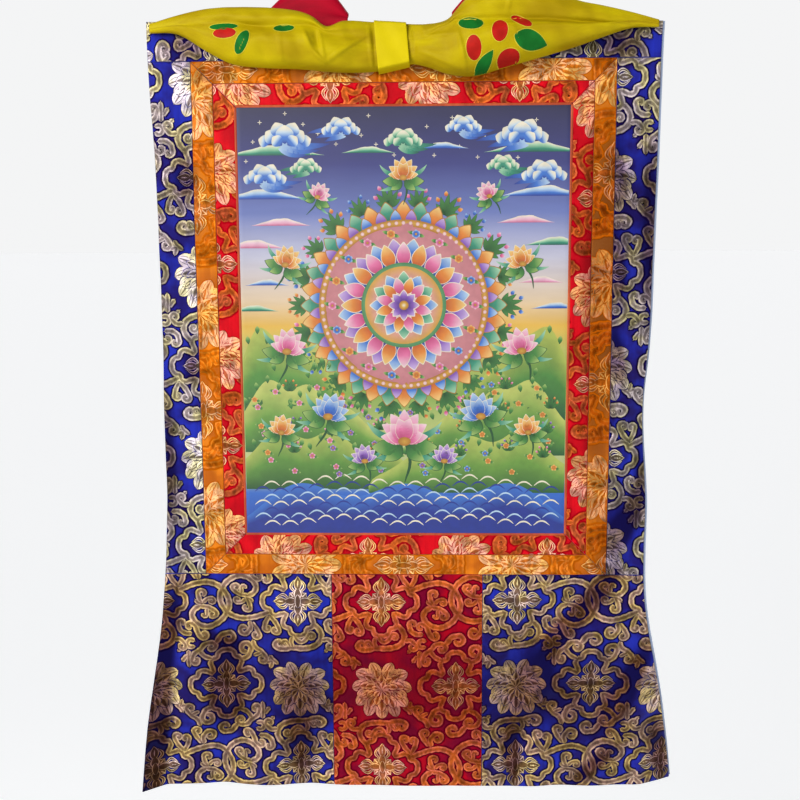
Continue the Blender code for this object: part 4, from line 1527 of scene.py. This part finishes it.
def small_flower(middle, radius, colours, layer, petals=6):
    """A little flower with round petals and two leaves."""
    few = (2, 4)
    for side in (-1, 1):
        petal(middle, 90 * side + 18, 0.5 * radius, 2.0 * radius, 0.42 * radius, LEAF_GREEN, layer - 1,
              grid=few)
    for number in range(petals):
        petal(middle, 360 * number / petals, 0.1 * radius, radius, 0.40 * radius, colours, layer, point=1.5,
              grid=few)
    disc(middle, 0.30 * radius, (GOLD_PAINT, DEEP_GOLD), layer + 1, around=8, rows=1)


def bush(middle, angle, size, colours, layer):
    """A tuft of leaves with buds at their ends."""
    for lean, reach in ((-62, 13), (-36, 17), (-12, 20), (12, 20), (36, 17), (62, 13)):
        petal(middle, angle + lean, 0, reach * size, 2.7 * size, LEAF_GREEN[:2], layer, grid=(2, 5),
              rim=paint(10, 52, 26), inset=0.3)
    for lean, reach in ((-48, 18), (-20, 22), (20, 22), (48, 18)):
        petal(middle, angle + lean, (reach - 5) * size, reach * size, 1.9 * size, colours, layer + 2,
              grid=(2, 4))


def round_wheel(angle, reach):
    """A place beside the middle of the wheel, at an angle in degrees from straight up."""
    angle = math.radians(angle)
    return WHEEL[0] + reach * math.sin(angle), WHEEL[1] + reach * math.cos(angle)


def draw_wheel():
    """Rings of petals, bands of gold with pearls, and a band of small flowers."""
    disc(WHEEL, 90.0, (paint(214, 140, 146), paint(204, 126, 134)), 6, hole=60.0, around=96)
    disc(WHEEL, 92.0, (DEEP_GOLD, GOLD_PAINT, DEEP_GOLD), 7, hole=84.5, around=96, rows=4)
    for number in range(PEARLS):
        spot = round_wheel(360 * number / PEARLS, PEARL_REACH)
        disc(spot, 2.0, (CREAM, ROSE_PINK[1]), 8, around=8, rows=1)
    for number in range(RING_FLOWERS):
        spot = round_wheel(360 * (number + 0.5) / RING_FLOWERS, RING_FLOWER_REACH)
        small_flower(spot, 4.8, (BLUE, PINK, ORANGE)[number % 3], 9)
    disc(WHEEL, 46.0, (paint(120, 170, 110), paint(70, 140, 90)), 15, hole=38.0, around=72)
    disc(WHEEL, 42.0, (paint(240, 176, 206), paint(226, 150, 190), GOLD_PAINT), 17, around=72, rows=4)
    for count, start, near, far, half_width, colours, layer in WHEEL_RINGS:
        for number in range(count):
            petal(WHEEL, start + 360 * number / count, near, far, half_width, colours[number % len(colours)],
                  layer, rim=CREAM if layer > 10 else DEEP_GOLD, inset=0.7)
    disc(WHEEL, 5.2, (CREAM, GOLD_PAINT, DEEP_GOLD), 26, around=24)
    for number in range(BUSHES):
        angle = 360 * (number + 0.5) / BUSHES
        bush(round_wheel(angle, BUSH_REACH), angle, 1.0 + 0.15 * (number % 2),
             (PINK, ORANGE, BLUE)[number % 3], 0)


draw_wheel()
print("painted corners so far:", len(picture.verts))

# %% [markdown]
# Clouds, hills and water come from the same few shapes.  A cloud is a heap of round puffs, white where they
# face outwards, over a long tail, and a flat cloud is a low hill.  The hills are rows of bumps, darker at
# the foot, and the water is rows of curved strokes.

# %% Sky, hills and water
CLOUD_HEAPS = (
    # middle, size, colours, which side its tail goes
    ((-126, 198), 1.15, BLUE, 1),
    ((-66, 208), 0.85, BLUE, -1),
    ((-148, 158), 0.95, BLUE, 1),
    ((126, 200), 1.15, BLUE, -1),
    ((64, 210), 0.80, BLUE, 1),
    ((150, 160), 1.00, BLUE, -1),
    ((-104, 168), 0.70, TEAL, -1),
    ((106, 170), 0.72, TEAL, 1),
    ((0, 196), 0.85, TEAL, 1),
)
FLAT_CLOUDS = (
    # left, right, foot, height
    (-190, -84, 182, 10), (-196, -104, 136, 10), (-164, -100, 108, 7), (86, 190, 184, 10),
    (102, 196, 138, 10), (100, 162, 110, 7), (-66, -8, 184, 6), (12, 70, 188, 6), (-196, -128, 84, 8),
    (130, 196, 86, 8), (-172, -124, 44, 6), (124, 172, 46, 6), (-190, -136, 16, 6), (138, 190, 18, 6),
)
PUFFS = (
    # across, up, radius
    (-19, -1, 5.6), (19, -1, 5.6), (-12, 3, 7.2), (12, 3, 7.2), (-6, 9, 7.2), (7, 9, 7.0), (0, 5, 8.4),
    (-7, -1, 5.8), (7, -1, 5.8),
)
HILLS = (
    # left, right, foot, bumps, colours, layer
    (-215, -60, -62, ((-160, 60, 22), (-120, 44, 24), (-90, 26, 16)),
     (paint(24, 84, 50), paint(84, 150, 60), paint(190, 200, 90)), 1),
    (60, 215, -66, ((158, 64, 24), (124, 40, 20), (92, 24, 16)),
     (paint(20, 78, 52), paint(76, 140, 60), paint(186, 196, 86)), 1),
    (-215, -20, -100, ((-150, 44, 26), (-104, 34, 22), (-60, 18, 18)),
     (paint(34, 100, 50), paint(110, 164, 66), paint(206, 212, 112)), 2),
    (10, 215, -104, ((140, 46, 28), (96, 30, 22), (48, 16, 18)),
     (paint(30, 92, 50), paint(100, 156, 62), paint(200, 208, 106)), 2),
    (-215, 30, -142, ((-140, 34, 28), (-80, 26, 26), (-20, 14, 20)),
     (paint(26, 86, 40), paint(96, 150, 58), paint(186, 200, 96)), 3),
    (-40, 215, -146, ((132, 36, 30), (70, 24, 26), (10, 12, 20)),
     (paint(28, 92, 44), paint(110, 160, 62), paint(190, 204, 98)), 4),
)
HILL_DEPTH = 40.0
WATER_TOP = -172.0
WATER_ROWS = 7
STARS = 26


def draw_cloud(middle, size, colours, tail):
    """A heap of puffs, white on their outer sides, over a long tail."""
    x, height = middle
    for down, angle, reach, half_width in ((2, 92, 48, 3.4), (5, 97, 38, 3.4), (8, 103, 27, 3.2)):
        petal((x - 6 * tail * size, height - down * size), angle * tail, 0, reach * size, half_width * size,
              (colours[2], colours[1], colours[0]), 6, bend=0.06)
    for number, (across, up, radius) in enumerate(PUFFS):
        spot = (x + across * size, height + up * size)
        outwards = math.degrees(math.atan2(across, up + 7))
        petal(spot, outwards, -radius * size, radius * size, radius * size,
              (colours[0], colours[1], colours[1], colours[2], CREAM, CREAM), 7 + number, point=1.1)


def draw_land():
    """Hills with lit crests, and water in rows of curved strokes."""
    for left, right, foot, bumps, colours, layer in HILLS:
        rise = ((left + right) / 2, HILL_DEPTH, right - left)
        hill(left, right, foot - HILL_DEPTH, (*bumps, rise), colours, layer)
        for where, height, width in bumps:
            for number in range(5):
                x = where + (number - 2) * 0.45 * width
                top = foot + height * math.exp(-((x - where) / width) ** 2)
                petal((x, top - 7), 8 * (number - 2), 0, 9, 2.6, LEAF_GREEN, layer + 2, point=1.2,
                      grid=(2, 4))
    hill(-215, 215, -232, ((-120, 62, 60), (0, 54, 60), (120, 62, 60)), (BLUE[0], BLUE[0], BLUE[1]), 5)
    for row in range(WATER_ROWS):
        for number in range(18):
            x = -168 + 20 * number + (10 if row % 2 else 0)
            height = WATER_TOP - 7.5 * row - 4 * math.cos(x / 22.0)
            if abs(x) > 166:
                continue
            stroke(((x - 9, height - 2.5), (x - 4, height + 1.4), (x, height + 2.4), (x + 4, height + 1.4),
                    (x + 9, height - 2.5)), 0.9, (CREAM, BLUE[0], BLUE[2])[row % 3], 7)


def draw_stars():
    """Small stars over the dark of the sky, at steps of the golden angle."""
    for number in range(STARS):
        x = -168 + (number * 61.8) % 336
        height = 176 + (number * 38.2) % 50
        for angle in (0, 90, 180, 270):
            petal((x, height), angle, 0, 2.4, 0.5, (CREAM, CREAM), 5, grid=(2, 2))


for number, (left, right, foot, height) in enumerate(FLAT_CLOUDS):
    shades = (TEAL, BLUE, ROSE_PINK)[number % 3]
    span = right - left
    hill(left, right, foot, [(left + share * span, rise * height, 0.13 * span)
                             for share, rise in ((0.20, 0.5), (0.40, 0.9), (0.60, 1.0), (0.80, 0.5))],
         (*shades, CREAM), 5)
for heap in CLOUD_HEAPS:
    draw_cloud(*heap)
draw_land()
draw_stars()
print("painted corners so far:", len(picture.verts))

# %% [markdown]
# Lotus flowers grow from the hills and fill the corners between the wheel and the border.  A flower is a
# fan of petals, the hind ones first, and its stem and leaves are strokes and broad petals.

# %% Lotus flowers round the wheel
BLOSSOMS = (
    # middle, size, colours, lean in degrees; each that isn't in the middle on both sides
    ((-128, -28), 1.15, PINK, 14),
    ((-128, 66), 0.95, ORANGE, 22),
    ((-84, -100), 1.20, BLUE, 20),
    ((0, -128), 1.55, PINK, 0),
    ((-44, -150), 0.85, PURPLE, -10),
    ((-136, -118), 0.90, ORANGE, 8),
    ((-92, 138), 0.72, PINK, 30),
    ((0, 158), 0.95, ORANGE, 0),
)
FAN = (
    # angle, length, half width, layers above the first; each but the upright one on both sides
    (-78, 17, 4.6, 0), (-52, 20, 5.2, 0), (-26, 22, 5.6, 0), (0, 23, 5.8, 0), (-66, 14, 4.8, 2),
    (-38, 16, 5.4, 2), (-14, 17, 5.4, 4),
)
BLOSSOM_LAYER = 12
# steps that spread places evenly, as shares of the width and of the height
SPREAD = (0.7549, 0.5698)


def draw_blossom(middle, size, colours, lean):
    """A lotus in side view over its leaves and a stem."""
    layer = BLOSSOM_LAYER
    x, height = middle
    turn = math.radians(lean)
    foot = (x - 34 * size * math.sin(turn), height - 30 * size * math.cos(turn))
    stroke(((x, height), ((x + foot[0]) / 2 + 4 * size, (height + foot[1]) / 2), foot), 1.1 * size,
           LEAF_GREEN[0], layer - 2)
    for angle, reach, width in ((100, 24, 6.5), (-100, 24, 6.5), (135, 20, 5.0), (-135, 20, 5.0)):
        petal(middle, lean + angle, 3 * size, reach * size, width * size, LEAF_GREEN, layer - 1,
              rim=LEAF_GREEN[0], bend=math.copysign(0.10, angle), inset=0.5)
    for angle in (-118, -62, 62, 118):
        petal(middle, lean + angle, 5 * size, 30 * size, 2.4 * size, TEAL, layer - 1,
              bend=math.copysign(0.14, angle))
    for angle, length, width, step in FAN:
        for angle in (angle, -angle) if angle else (0,):
            petal(middle, lean + angle, 0, length * size, width * size, colours, layer + step, rim=CREAM,
                  bend=math.copysign(0.05, -angle) if angle else 0.0, inset=0.45)
    disc(middle, 4.6 * size, (GOLD_PAINT, DEEP_GOLD), layer + 6, squash=0.7, around=14, rows=1)


for (x, height), size, colours, lean in BLOSSOMS:
    for side in (1, -1) if x else (1,):
        draw_blossom((side * x, height), size, colours, side * lean)
for number in range(1, 64):
    spot = (-168 + (number * SPREAD[0] % 1) * 336, -60 - (number * SPREAD[1] % 1) * 106)
    if math.hypot(spot[0] - WHEEL[0], spot[1] - WHEEL[1]) > 118:
        small_flower(spot, 3.6, (PINK, ORANGE, BLUE, PURPLE)[number % 4], 8, petals=5)
for number in range(1, 22):
    spot = (-164 + (number * SPREAD[1] % 1) * 328, -64 - (number * SPREAD[0] % 1) * 96)
    if math.hypot(spot[0] - WHEEL[0], spot[1] - WHEEL[1]) > 126:
        bush(spot, 0, 0.62, (PINK, ORANGE, PURPLE)[number % 3], 6)
print("painted corners in all:", len(picture.verts))

# %% [markdown]
# The painted shapes are cut at the picture's edge, their coinciding corners are joined, and the whole is
# laid on the cloth.  One finish serves all of it: it reads each corner's pigment and adds the grain of
# the cloth and the unevenness of brushed colour.

# %% The picture on its cloth
PICTURE_EDGE = 0.0012
PICTURE_LIFT = 0.05 * MM
BRUSHED_PIGMENT = (0.35, 0.65, 90.0, 4.0)
PIGMENT_DARKER = 0.16


def painted_finish():
    """Pigment on fine cotton."""
    finish, tree, shader = new_material("pigment", 0.50)
    colour = node(tree, "ShaderNodeAttribute", attribute_name="pigment").outputs["Color"]
    brushed = uneven(tree, *BRUSHED_PIGMENT)
    tree.links.new(darkened(tree, colour, brushed, PIGMENT_DARKER), shader.inputs["Base Color"])
    weave(tree, shader, CANVAS_DEPTH, CANVAS_PITCH, CANVAS_PITCH)
    return finish


def lay_picture():
    """Cuts the picture to size and hangs it on the painted cloth."""
    half_width, half_height = PAINTING_WIDTH / 2 - PICTURE_EDGE, PAINTING_HEIGHT / 2 - PICTURE_EDGE
    clear_outside(picture, (-half_width, PAINTING_MIDDLE - half_height,
                            half_width, PAINTING_MIDDLE + half_height))
    for side in (-1, 1):
        cut_away(picture, (side * half_width, PAINTING_MIDDLE), (side, 0))
        cut_away(picture, (0, PAINTING_MIDDLE + side * half_height), (0, side))
    bmesh.ops.remove_doubles(picture, verts=picture.verts, dist=0.3 * LAYER)
    mesh = mesh_of("painted_picture", picture)
    flat = points_of(mesh)
    keep_cloth_map(mesh, flat)
    x, z, lift = flat.T
    put_points(mesh, hang(x, z, -(CLOTH + PICTURE_LIFT + lift)))
    return show("painted_picture", mesh, painted_finish())


painted = lay_picture()
print("picture faces:", len(painted.data.polygons))

# %% [markdown]
# The lining is one plain cotton cloth behind everything.  Its right edge shows as a light margin, and it
# is all that is seen from behind.  Its threads are thicker than the satin's and a little lumpy.

# %% Lining
LINING_PITCH = 0.0007
LINING_DEPTH = 0.0001
LINING_SLUB = 0.6
LINING_TUCK = 0.0012
LINING_COLUMNS = 84
LINING_ROWS = 116
COTTON_CLOUDS = (0.32, 0.70, 14.0)


def plain_cloth(name, light, dark, roughness, clouds, depth, pitch, slub=0.0, **values):
    """A plain-woven cloth or silk whose colour is a little cloudy."""
    finish, tree, shader = new_material(name, roughness, **values)
    tree.links.new(mix_colour(tree, uneven(tree, *clouds), dark, light), shader.inputs["Base Color"])
    weave(tree, shader, depth, pitch, pitch, slub)
    return finish


def place_lining(across, down):
    """The lining's places, behind the hanging cloth."""
    z = -MOUNT_HEIGHT * down
    left, right = side_lines("left edge", "right edge", z)
    left = left + LINING_TUCK
    x = left + (right + LINING_SHOWS - left) * across
    return hang(x, edge_z(x, z) + LINING_TUCK * down, LINING_GAP), np.stack((x, z), 1)


LINING_COTTON = plain_cloth("lining cotton", (0.255, 0.305, 0.42), (0.225, 0.270, 0.375), 0.85,
                            COTTON_CLOUDS, LINING_DEPTH, LINING_PITCH, LINING_SLUB, Sheen_Weight=0.15)
cloth_piece("lining_cloth", LINING_COLUMNS, LINING_ROWS, place_lining, LINING_COTTON,
                               LINING, -1.0)
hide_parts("lining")

# %% [markdown]
# The yellow veil is one thin sheet of silk.  It is sewn to the top edge, falls a little, and is gathered
# up again over its own edge into a soft roll.  Its main form comes from a table of sections along the
# top edge: how high, how low and how far forward it comes.  The creases are smaller troughs and ridges
# that are pressed into its front.

# %% The veil
VEIL = 0.0010
VEIL_BACK = -0.0055
VEIL_LENGTH = 0.16
SILK_GLOSS = 0.07
SILK_ROUGHNESS = 0.55
SILK_PITCH = 0.00035
SILK_DEPTH = 0.00003
# soft clouds: from, to, scale, detail, stretch
SILK_CLOUDS = (0.30, 0.70, 16.0, 3.0, (1.0, 2.0, 1.0))
VEIL_COLUMNS = 352
VEIL_ROWS = 92
VEIL_SHAPE = in_metres((
    # in mm: x, top, bottom, bulge forward, crease height, crease depth
    (-265, -1.5, -10, 8.5, -6, 0),
    (-235, 6, -12, 15, -4, 0.3),
    (-205, 11, -29.5, 25, -3.5, 1.5),
    (-178, 11.8, -43, 33, -4.5, 4),
    (-145, 10.8, -47.5, 38, -8.8, 5.5),
    (-110, 7.2, -49, 40, -8, 5),
    (-93, 1.5, -50.5, 39, -9, 5),
    (-78, -8.5, -52, 37, -16, 5),
    (-60, -3, -53, 34, -18, 2.5),
    (-30, -3.5, -52, 24, -20, 0),
    (-10.5, -4.5, -48, 23, -20, 0),
    (9, -6, -44.5, 24, -20, 0),
    (26, -7, -48, 33, -20, 2),
    (47, -3, -55.5, 39, -7.5, 2.5),
    (64, 15, -58, 43, -5.5, 4),
    (79, 27, -57.5, 45, -4.8, 5.5),
    (102, 34, -51, 45, -4, 7),
    (142, 28, -40, 41, -4, 6.5),
    (180, 15, -29, 33, -6.5, 4.5),
    (211, 9.5, -18, 24, -7.5, 2),
    (238, 4.2, -10, 15, -7, 0.3),
    (265.5, -2.5, -9, 8.5, -7, 0),
))
VEIL_CREASES = in_metres((
    # in mm: from x, from z, to x, to z, half width, depth in (+) or out (-)
    (-170, -4.7, -142, -8.9, 1.8, 2.2),
    (-142, -8.9, -90, -8.5, 1.6, 1.2),
    (-175, -2, -130, -4, 3, -1.2),
    (-90, -8.5, -70, -14, 2, 1.6),
    (-156, -15, -172, -42, 2.2, -2.2),
    (-145, -20, -138, -44, 6, 1.6),
    (-125, -15, -123, -46, 2.2, -1.2),
    (-108, -16, -104, -44, 6, 1.4),
    (-100, -14, -92, -33, 1.7, -3),
    (-92, -33, -79, -46, 1.7, -3),
    (-79, -46, -34, -16, 1.6, -3),
    (-90, -13, -85, -33, 4.5, 4.4),
    (-85, -13, -79, -44, 1.8, -2.2),
    (-60, -18, -50, -12, 7, 1.4),
    (-56, -42, -38, -38, 7, 1.8),
    (-35, -7, -31, -50, 1.5, -1.4),
    (-30.5, -7, -27.5, -50, 1.8, 1.6),
    (12, -8, 14, -43, 1.8, 1.2),
    (18, -20, 56, -19, 1.7, -2.2),
    (16, -34, 64, -54, 1.8, -2.2),
    (20, -8, 24, -20, 2, -1.4),
    (57, -16, 66, -56, 1.8, -2.6),
    (30, -29, 52, -35, 8, 2.2),
    (50, -6, 90, -4.4, 1.6, 2.2),
    (90, -4.4, 150, -4, 1.6, 2.4),
    (150, -4, 250, -9.5, 1.5, 1.8),
    (56, -1, 120, 1.5, 2.2, -1.4),
    (120, 1.5, 230, -4.5, 2, -1.2),
    (70, 24, 56, 2, 2.2, 1.6),
    (112, 22, 106, 1, 2, -1.4),
    (110, -10, 125, -36, 2, -1),
    (120, -18, 190, -11, 7, 1.4),
    (115, -33, 170, -21, 8, -1),
    (88, 17, 92, 15, 1.8, 2.2),
))
VEIL_PLEATS = (
    # where, pleats in a metre, how far they reach, depth
    (BAND_LEFT, 60.0, 0.022, 0.0005),
    (BAND_RIGHT, 60.0, 0.022, 0.0005),
    (-0.2650, 200.0, 0.030, 0.0005),
    (0.2630, 200.0, 0.030, 0.0005),
)
VEIL_RIPPLES = (
    # depth, waves in a metre across, and down
    (0.0004, 21, -34),
    (0.0003, 47, 29),
)


def smooth_loop(points, at):
    """Places along a smooth curve through a list of arrays, at shares from 0 to 1."""
    last = len(points) - 1
    keyed = np.clip(at * last, 0, last)
    index = np.minimum(keyed.astype(int), last - 1)
    stack = np.array(points)
    columns = np.arange(stack.shape[1])
    before, here, there, after = (stack[np.clip(index + step, 0, last), columns] for step in (-1, 0, 1, 2))
    t = keyed - index
    first = np.where(index == 0, 1.0, 0.5)
    final = np.where(index == last - 1, 1.0, 0.5)
    enter, leave = (there - before) * first, (after - here) * final
    rise = there - here
    return here + t * (enter + t * ((3 * rise - 2 * enter - leave) + t * (enter + leave - 2 * rise)))


def veil_section(x):
    """The veil's section at each x, as lists of y and z: down behind, round, up and over its top."""
    top, bottom, bulge, crease, crease_depth = smooth_row(VEIL_SHAPE, x).T
    height = top - bottom
    reach = bulge + VEIL_BACK
    sewn = np.minimum(-0.0050, top - 0.30 * height)
    crease = np.minimum(crease, top - 0.15 * height)
    belly = bottom + 0.36 * height
    end = np.maximum(sewn + 0.0025, np.minimum(-0.0010, top - 0.16 * height))
    flat = np.full_like(x, VEIL_BACK)
    ys = (flat, flat, VEIL_BACK - 0.06 * reach, VEIL_BACK - 0.32 * reach, VEIL_BACK - 0.78 * reach,
          VEIL_BACK - reach, VEIL_BACK - 0.96 * reach, VEIL_BACK - 0.92 * reach + crease_depth,
          VEIL_BACK - 0.86 * reach + 0.15 * crease_depth, VEIL_BACK - 0.55 * reach,
          VEIL_BACK - 0.18 * reach, flat)
    zs = (sewn, (sewn + bottom) / 2, bottom + 0.08 * height, bottom, bottom + 0.10 * height, belly,
          (belly + crease) / 2, crease, (crease + top) / 2, top, top - 0.10 * height, end)
    return ys, zs


def place_veil(across, down):
    """The veil's places, with its creases and pleats pressed into its front."""
    x = VEIL_SHAPE[0][0] + (VEIL_SHAPE[-1][0] - VEIL_SHAPE[0][0]) * across
    ys, zs = veil_section(x)
    y, z = smooth_loop(ys, down), smooth_loop(zs, down)
    front = ease((-y - 0.010) / 0.012)
    dent = sum(fold_depth(x, z, row) for row in VEIL_CREASES)
    for where, count, length, depth in VEIL_PLEATS:
        near = ease(1 - np.abs(x - where) / length)
        dent += depth * near * np.sin(2 * math.pi * count * (z + 0.15 * (x - where)))
    dent += sum(height * np.sin(2 * math.pi * (waves * x + rows * z))
                for height, waves, rows in VEIL_RIPPLES)
    return np.stack((x, y + dent * front, z), 1), np.stack((x, down * VEIL_LENGTH), 1)


def silk(name, light, dark, clouds=SILK_CLOUDS, roughness=SILK_ROUGHNESS):
    """A thin plain silk: a fine weave and a soft gloss."""
    return plain_cloth(name, light, dark, roughness, clouds, SILK_DEPTH, SILK_PITCH,
                       Specular_IOR_Level=SILK_GLOSS)


YELLOW_SILK = silk("yellow silk", (0.430, 0.335, 0.0008), (0.300, 0.205, 0.0006))
veil = cloth_piece("veil_silk", VEIL_COLUMNS, VEIL_ROWS, place_veil, YELLOW_SILK, VEIL,
                   0.0, 0.0)
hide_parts("veil")
print("veil faces:", len(veil.data.polygons))

# %% [markdown]
# Petals are printed on the veil's front in red and green, each with a pale rim where the dye did not
# take.  They are flat leaves first.  Rays from the camera's side then find the silk behind each corner,
# so that a petal follows the creases.

# %% Petals printed on the veil
PRINT_LIFT = 0.00022
RIM_WIDTH = 0.0008
RAYS_FROM = -0.2
EDGE_REACH = -0.022
DYE_CLOUDS = (0.30, 0.70, 60.0)
DYE_DARK = 0.72
DYE_ROUGHNESS = 0.50
PRINTS = (
    # colour, middle x and z, half length, half width, turn of its long side, pointed or oval
    ("green", -0.1832, -0.0085, 0.0150, 0.0034, 0, OVAL),
    ("red", -0.1818, -0.0152, 0.0122, 0.0052, 0, OVAL),
    ("green", -0.1636, -0.0248, 0.0125, 0.0060, 62, OVAL),
    ("green", -0.1204, -0.0115, 0.0105, 0.0038, 2, OVAL),
    ("green", 0.0702, -0.0095, 0.0125, 0.0062, -3, OVAL),
    ("red", 0.0991, -0.0174, 0.0108, 0.0080, 84, OVAL),
    ("red", 0.1211, -0.0077, 0.0112, 0.0044, -26, OVAL),
    ("green", 0.1307, -0.0268, 0.0172, 0.0098, -14, POINTED),
    ("red", 0.0731, -0.0338, 0.0120, 0.0076, 94, OVAL),
    ("green", 0.0841, -0.0488, 0.0152, 0.0062, 56, POINTED),
    ("red", 0.1087, -0.0444, 0.0120, 0.0094, 26, OVAL),
)


def dyed(name, colour):
    """Dye on the silk."""
    return silk(name, colour, tuple(DYE_DARK * value for value in colour), DYE_CLOUDS, DYE_ROUGHNESS)


def onto_silk(mesh, tree, lift):
    """Moves a flat mesh's corners, in x and y, back along +Y to the front of the silk."""
    points = points_of(mesh)
    for row in points:
        spot, outwards, face, far = tree.ray_cast(Vector((row[0], RAYS_FROM, row[1])), Vector((0, 1, 0)))
        if not spot:
            spot, outwards, face, far = tree.find_nearest(Vector((row[0], EDGE_REACH, row[1])))
        row[:] = spot + outwards * lift
    put_points(mesh, points)


bpy.context.view_layer.update()
silk_tree = BVHTree.FromObject(veil, bpy.context.evaluated_depsgraph_get())
INKS = {"red": dyed("red dye", (0.400, 0.010, 0.006)), "green": dyed("green dye", (0.006, 0.130, 0.016)),
        "rim": dyed("undyed rim", (0.56, 0.47, 0.030))}


def print_petals(colour, extra, lift):
    """All the printed petals of one colour, or the rims of all."""
    work = new_ribbons()
    for ink, x, z, half_length, half_width, turn, ends in PRINTS:
        if colour not in (ink, "rim"):
            continue
        angle = math.radians(turn)
        run = np.array((math.cos(angle), -math.sin(angle))) * (half_length + extra) / MM
        middle = np.array((x, -z)) / MM
        ribbon(work, np.array((middle - run, middle, middle + run)), (half_width + extra) / MM, 0.0, ends,
               section="dye")
    mesh = mesh_of("printed_" + colour, work)
    keep_cloth_map(mesh, points_of(mesh))
    onto_silk(mesh, silk_tree, lift)
    return show("printed_" + colour, mesh, INKS[colour])


prints = [print_petals("rim", RIM_WIDTH, PRINT_LIFT), print_petals("red", 0.0, 2 * PRINT_LIFT),
          print_petals("green", 0.0, 2 * PRINT_LIFT)]
print("printed petals:", len(PRINTS))

# %% [markdown]
# A flat band of the same silk holds the veil at its middle, and two red silk streamers are thrown back
# over the top edge.  Each is one sheet along a path: the path is given by a few points and smoothed.

# %% Band and streamers
BAND_CLEARANCE = 0.0017
BAND_BACK = -0.0033
BAND_CORNER = 0.007
BAND_LEAN = 0.085
BAND_ROUND = 0.11
STREAMER = 0.0010
STREAMER_SHOULDER = 0.010
STREAMER_LOOSE = 0.45
STREAMER_FOLDS = 1.4
STREAMER_SWAY = 0.0040
STREAMER_DRAWN = 0.24
STREAMER_RIPPLE = 0.0016
STREAMER_SLANT = 0.016
STREAMERS = (
    # name, left, right, hump, peak share, front end, length
    ("streamer_left", -0.1450, -0.0574, 0.042, 0.58, -0.0130, 0.330),
    ("streamer_right", 0.052, 0.122, 0.034, 0.45, -0.0010, 0.300),
)


def place_band(across, down):
    """The band's places, round the front of the veil; it narrows to the right and leans a little."""
    x = BAND_LEFT + (BAND_RIGHT - BAND_LEFT) * across
    held = smooth_row(VEIL_SHAPE, (BAND_LEFT, (BAND_LEFT + BAND_RIGHT) / 2, BAND_RIGHT))
    tops, bottoms = held[:, 0] + BAND_CLEARANCE, held[:, 1] - BAND_CLEARANCE
    top = tops[0] + (tops[-1] - tops[0]) * across
    bottom = bottoms[0] + (bottoms[-1] - bottoms[0]) * across
    front = np.full_like(across, -held[:, 2].max() - BAND_CLEARANCE)
    back = np.full_like(across, BAND_BACK)
    ys = (back, back - 0.0015, front / 2, front + 0.0015, front, front - 0.0010, front,
          front + 0.0015, front / 2, back - 0.0015, back)
    zs = (bottom + BAND_CORNER, bottom, bottom - 0.0005, bottom + 0.0020, bottom + BAND_CORNER,
          (top + bottom) / 2, top - BAND_CORNER, top - 0.0020, top + 0.0005, top, top - 0.0040)
    y, z = smooth_loop(ys, down), smooth_loop(zs, down)
    y = y + 0.0003 * np.sin(across * 9.0 + z * 120.0)
    lean = -BAND_LEAN * (z - (tops.mean() + bottoms.mean()) / 2)
    return np.stack((x + lean, y, z), 1), np.stack((x, down * BAND_ROUND), 1)


def place_streamer(left, right, hump, peak, front_end, length):
    """Gives the placing function of one streamer."""
    def place(across, down):
        rise = np.where(across < peak, np.sin(math.pi / 2 * across / peak),
                        np.sin(math.pi / 2 * (1 - across) / (1 - peak)))
        height = STREAMER_SHOULDER + (hump - STREAMER_SHOULDER) * rise
        ripple = 0.0025 * np.sin(3 * math.pi * across)
        full = np.ones_like(across)
        ys = (-0.0040 * full, -0.0034 * full, -0.0010 * full, 0.0020 * full, 0.0080 * full, 0.0150 * full,
              0.0180 * full, 0.0160 * full, 0.0120 + ripple, 0.0100 + ripple, 0.0100 + ripple)
        zs = (front_end * full, 0.0020 * full, 0.35 * height, 0.80 * height, height, 0.85 * height,
              0.30 * height, -0.015 * full, -0.060 * full, -0.5 * length * full, -length * full)
        x = left + (right - left) * across
        y, z = smooth_loop(ys, down), smooth_loop(zs, down)
        loose = ease((down - STREAMER_LOOSE) / (1 - STREAMER_LOOSE))
        folds = np.sin(2 * math.pi * (STREAMER_FOLDS * across + down) + 40 * left)
        sway = STREAMER_SWAY * np.sin(2 * math.pi * down + 30 * left)
        placed = np.stack((x + loose * (sway - 0.5 * STREAMER_DRAWN * (x - (left + right) / 2)),
                           y + STREAMER_RIPPLE * ease((down - 0.5) / 0.2) * (folds + 1),
                           z + STREAMER_SLANT * loose * across), 1)
        return placed, np.stack((x, down * length), 1)
    return place


BAND_SILK = silk("band silk", (0.54, 0.43, 0.001), (0.46, 0.36, 0.001))
RED_SILK = silk("red silk", (0.36, 0.0010, 0.015), (0.25, 0.0008, 0.011))
band = cloth_piece("veil_band_silk", 16, 60, place_band, BAND_SILK, VEIL, 0.0)
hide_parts("veil_band")
for name, left, right, hump, peak, front_end, length in STREAMERS:
    place = place_streamer(left, right, hump, peak, front_end, length)
    streamer = cloth_piece(name + "_silk", 32, 150, place, RED_SILK, STREAMER, 0.0)
    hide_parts(name)
print("streamers:", len(STREAMERS))
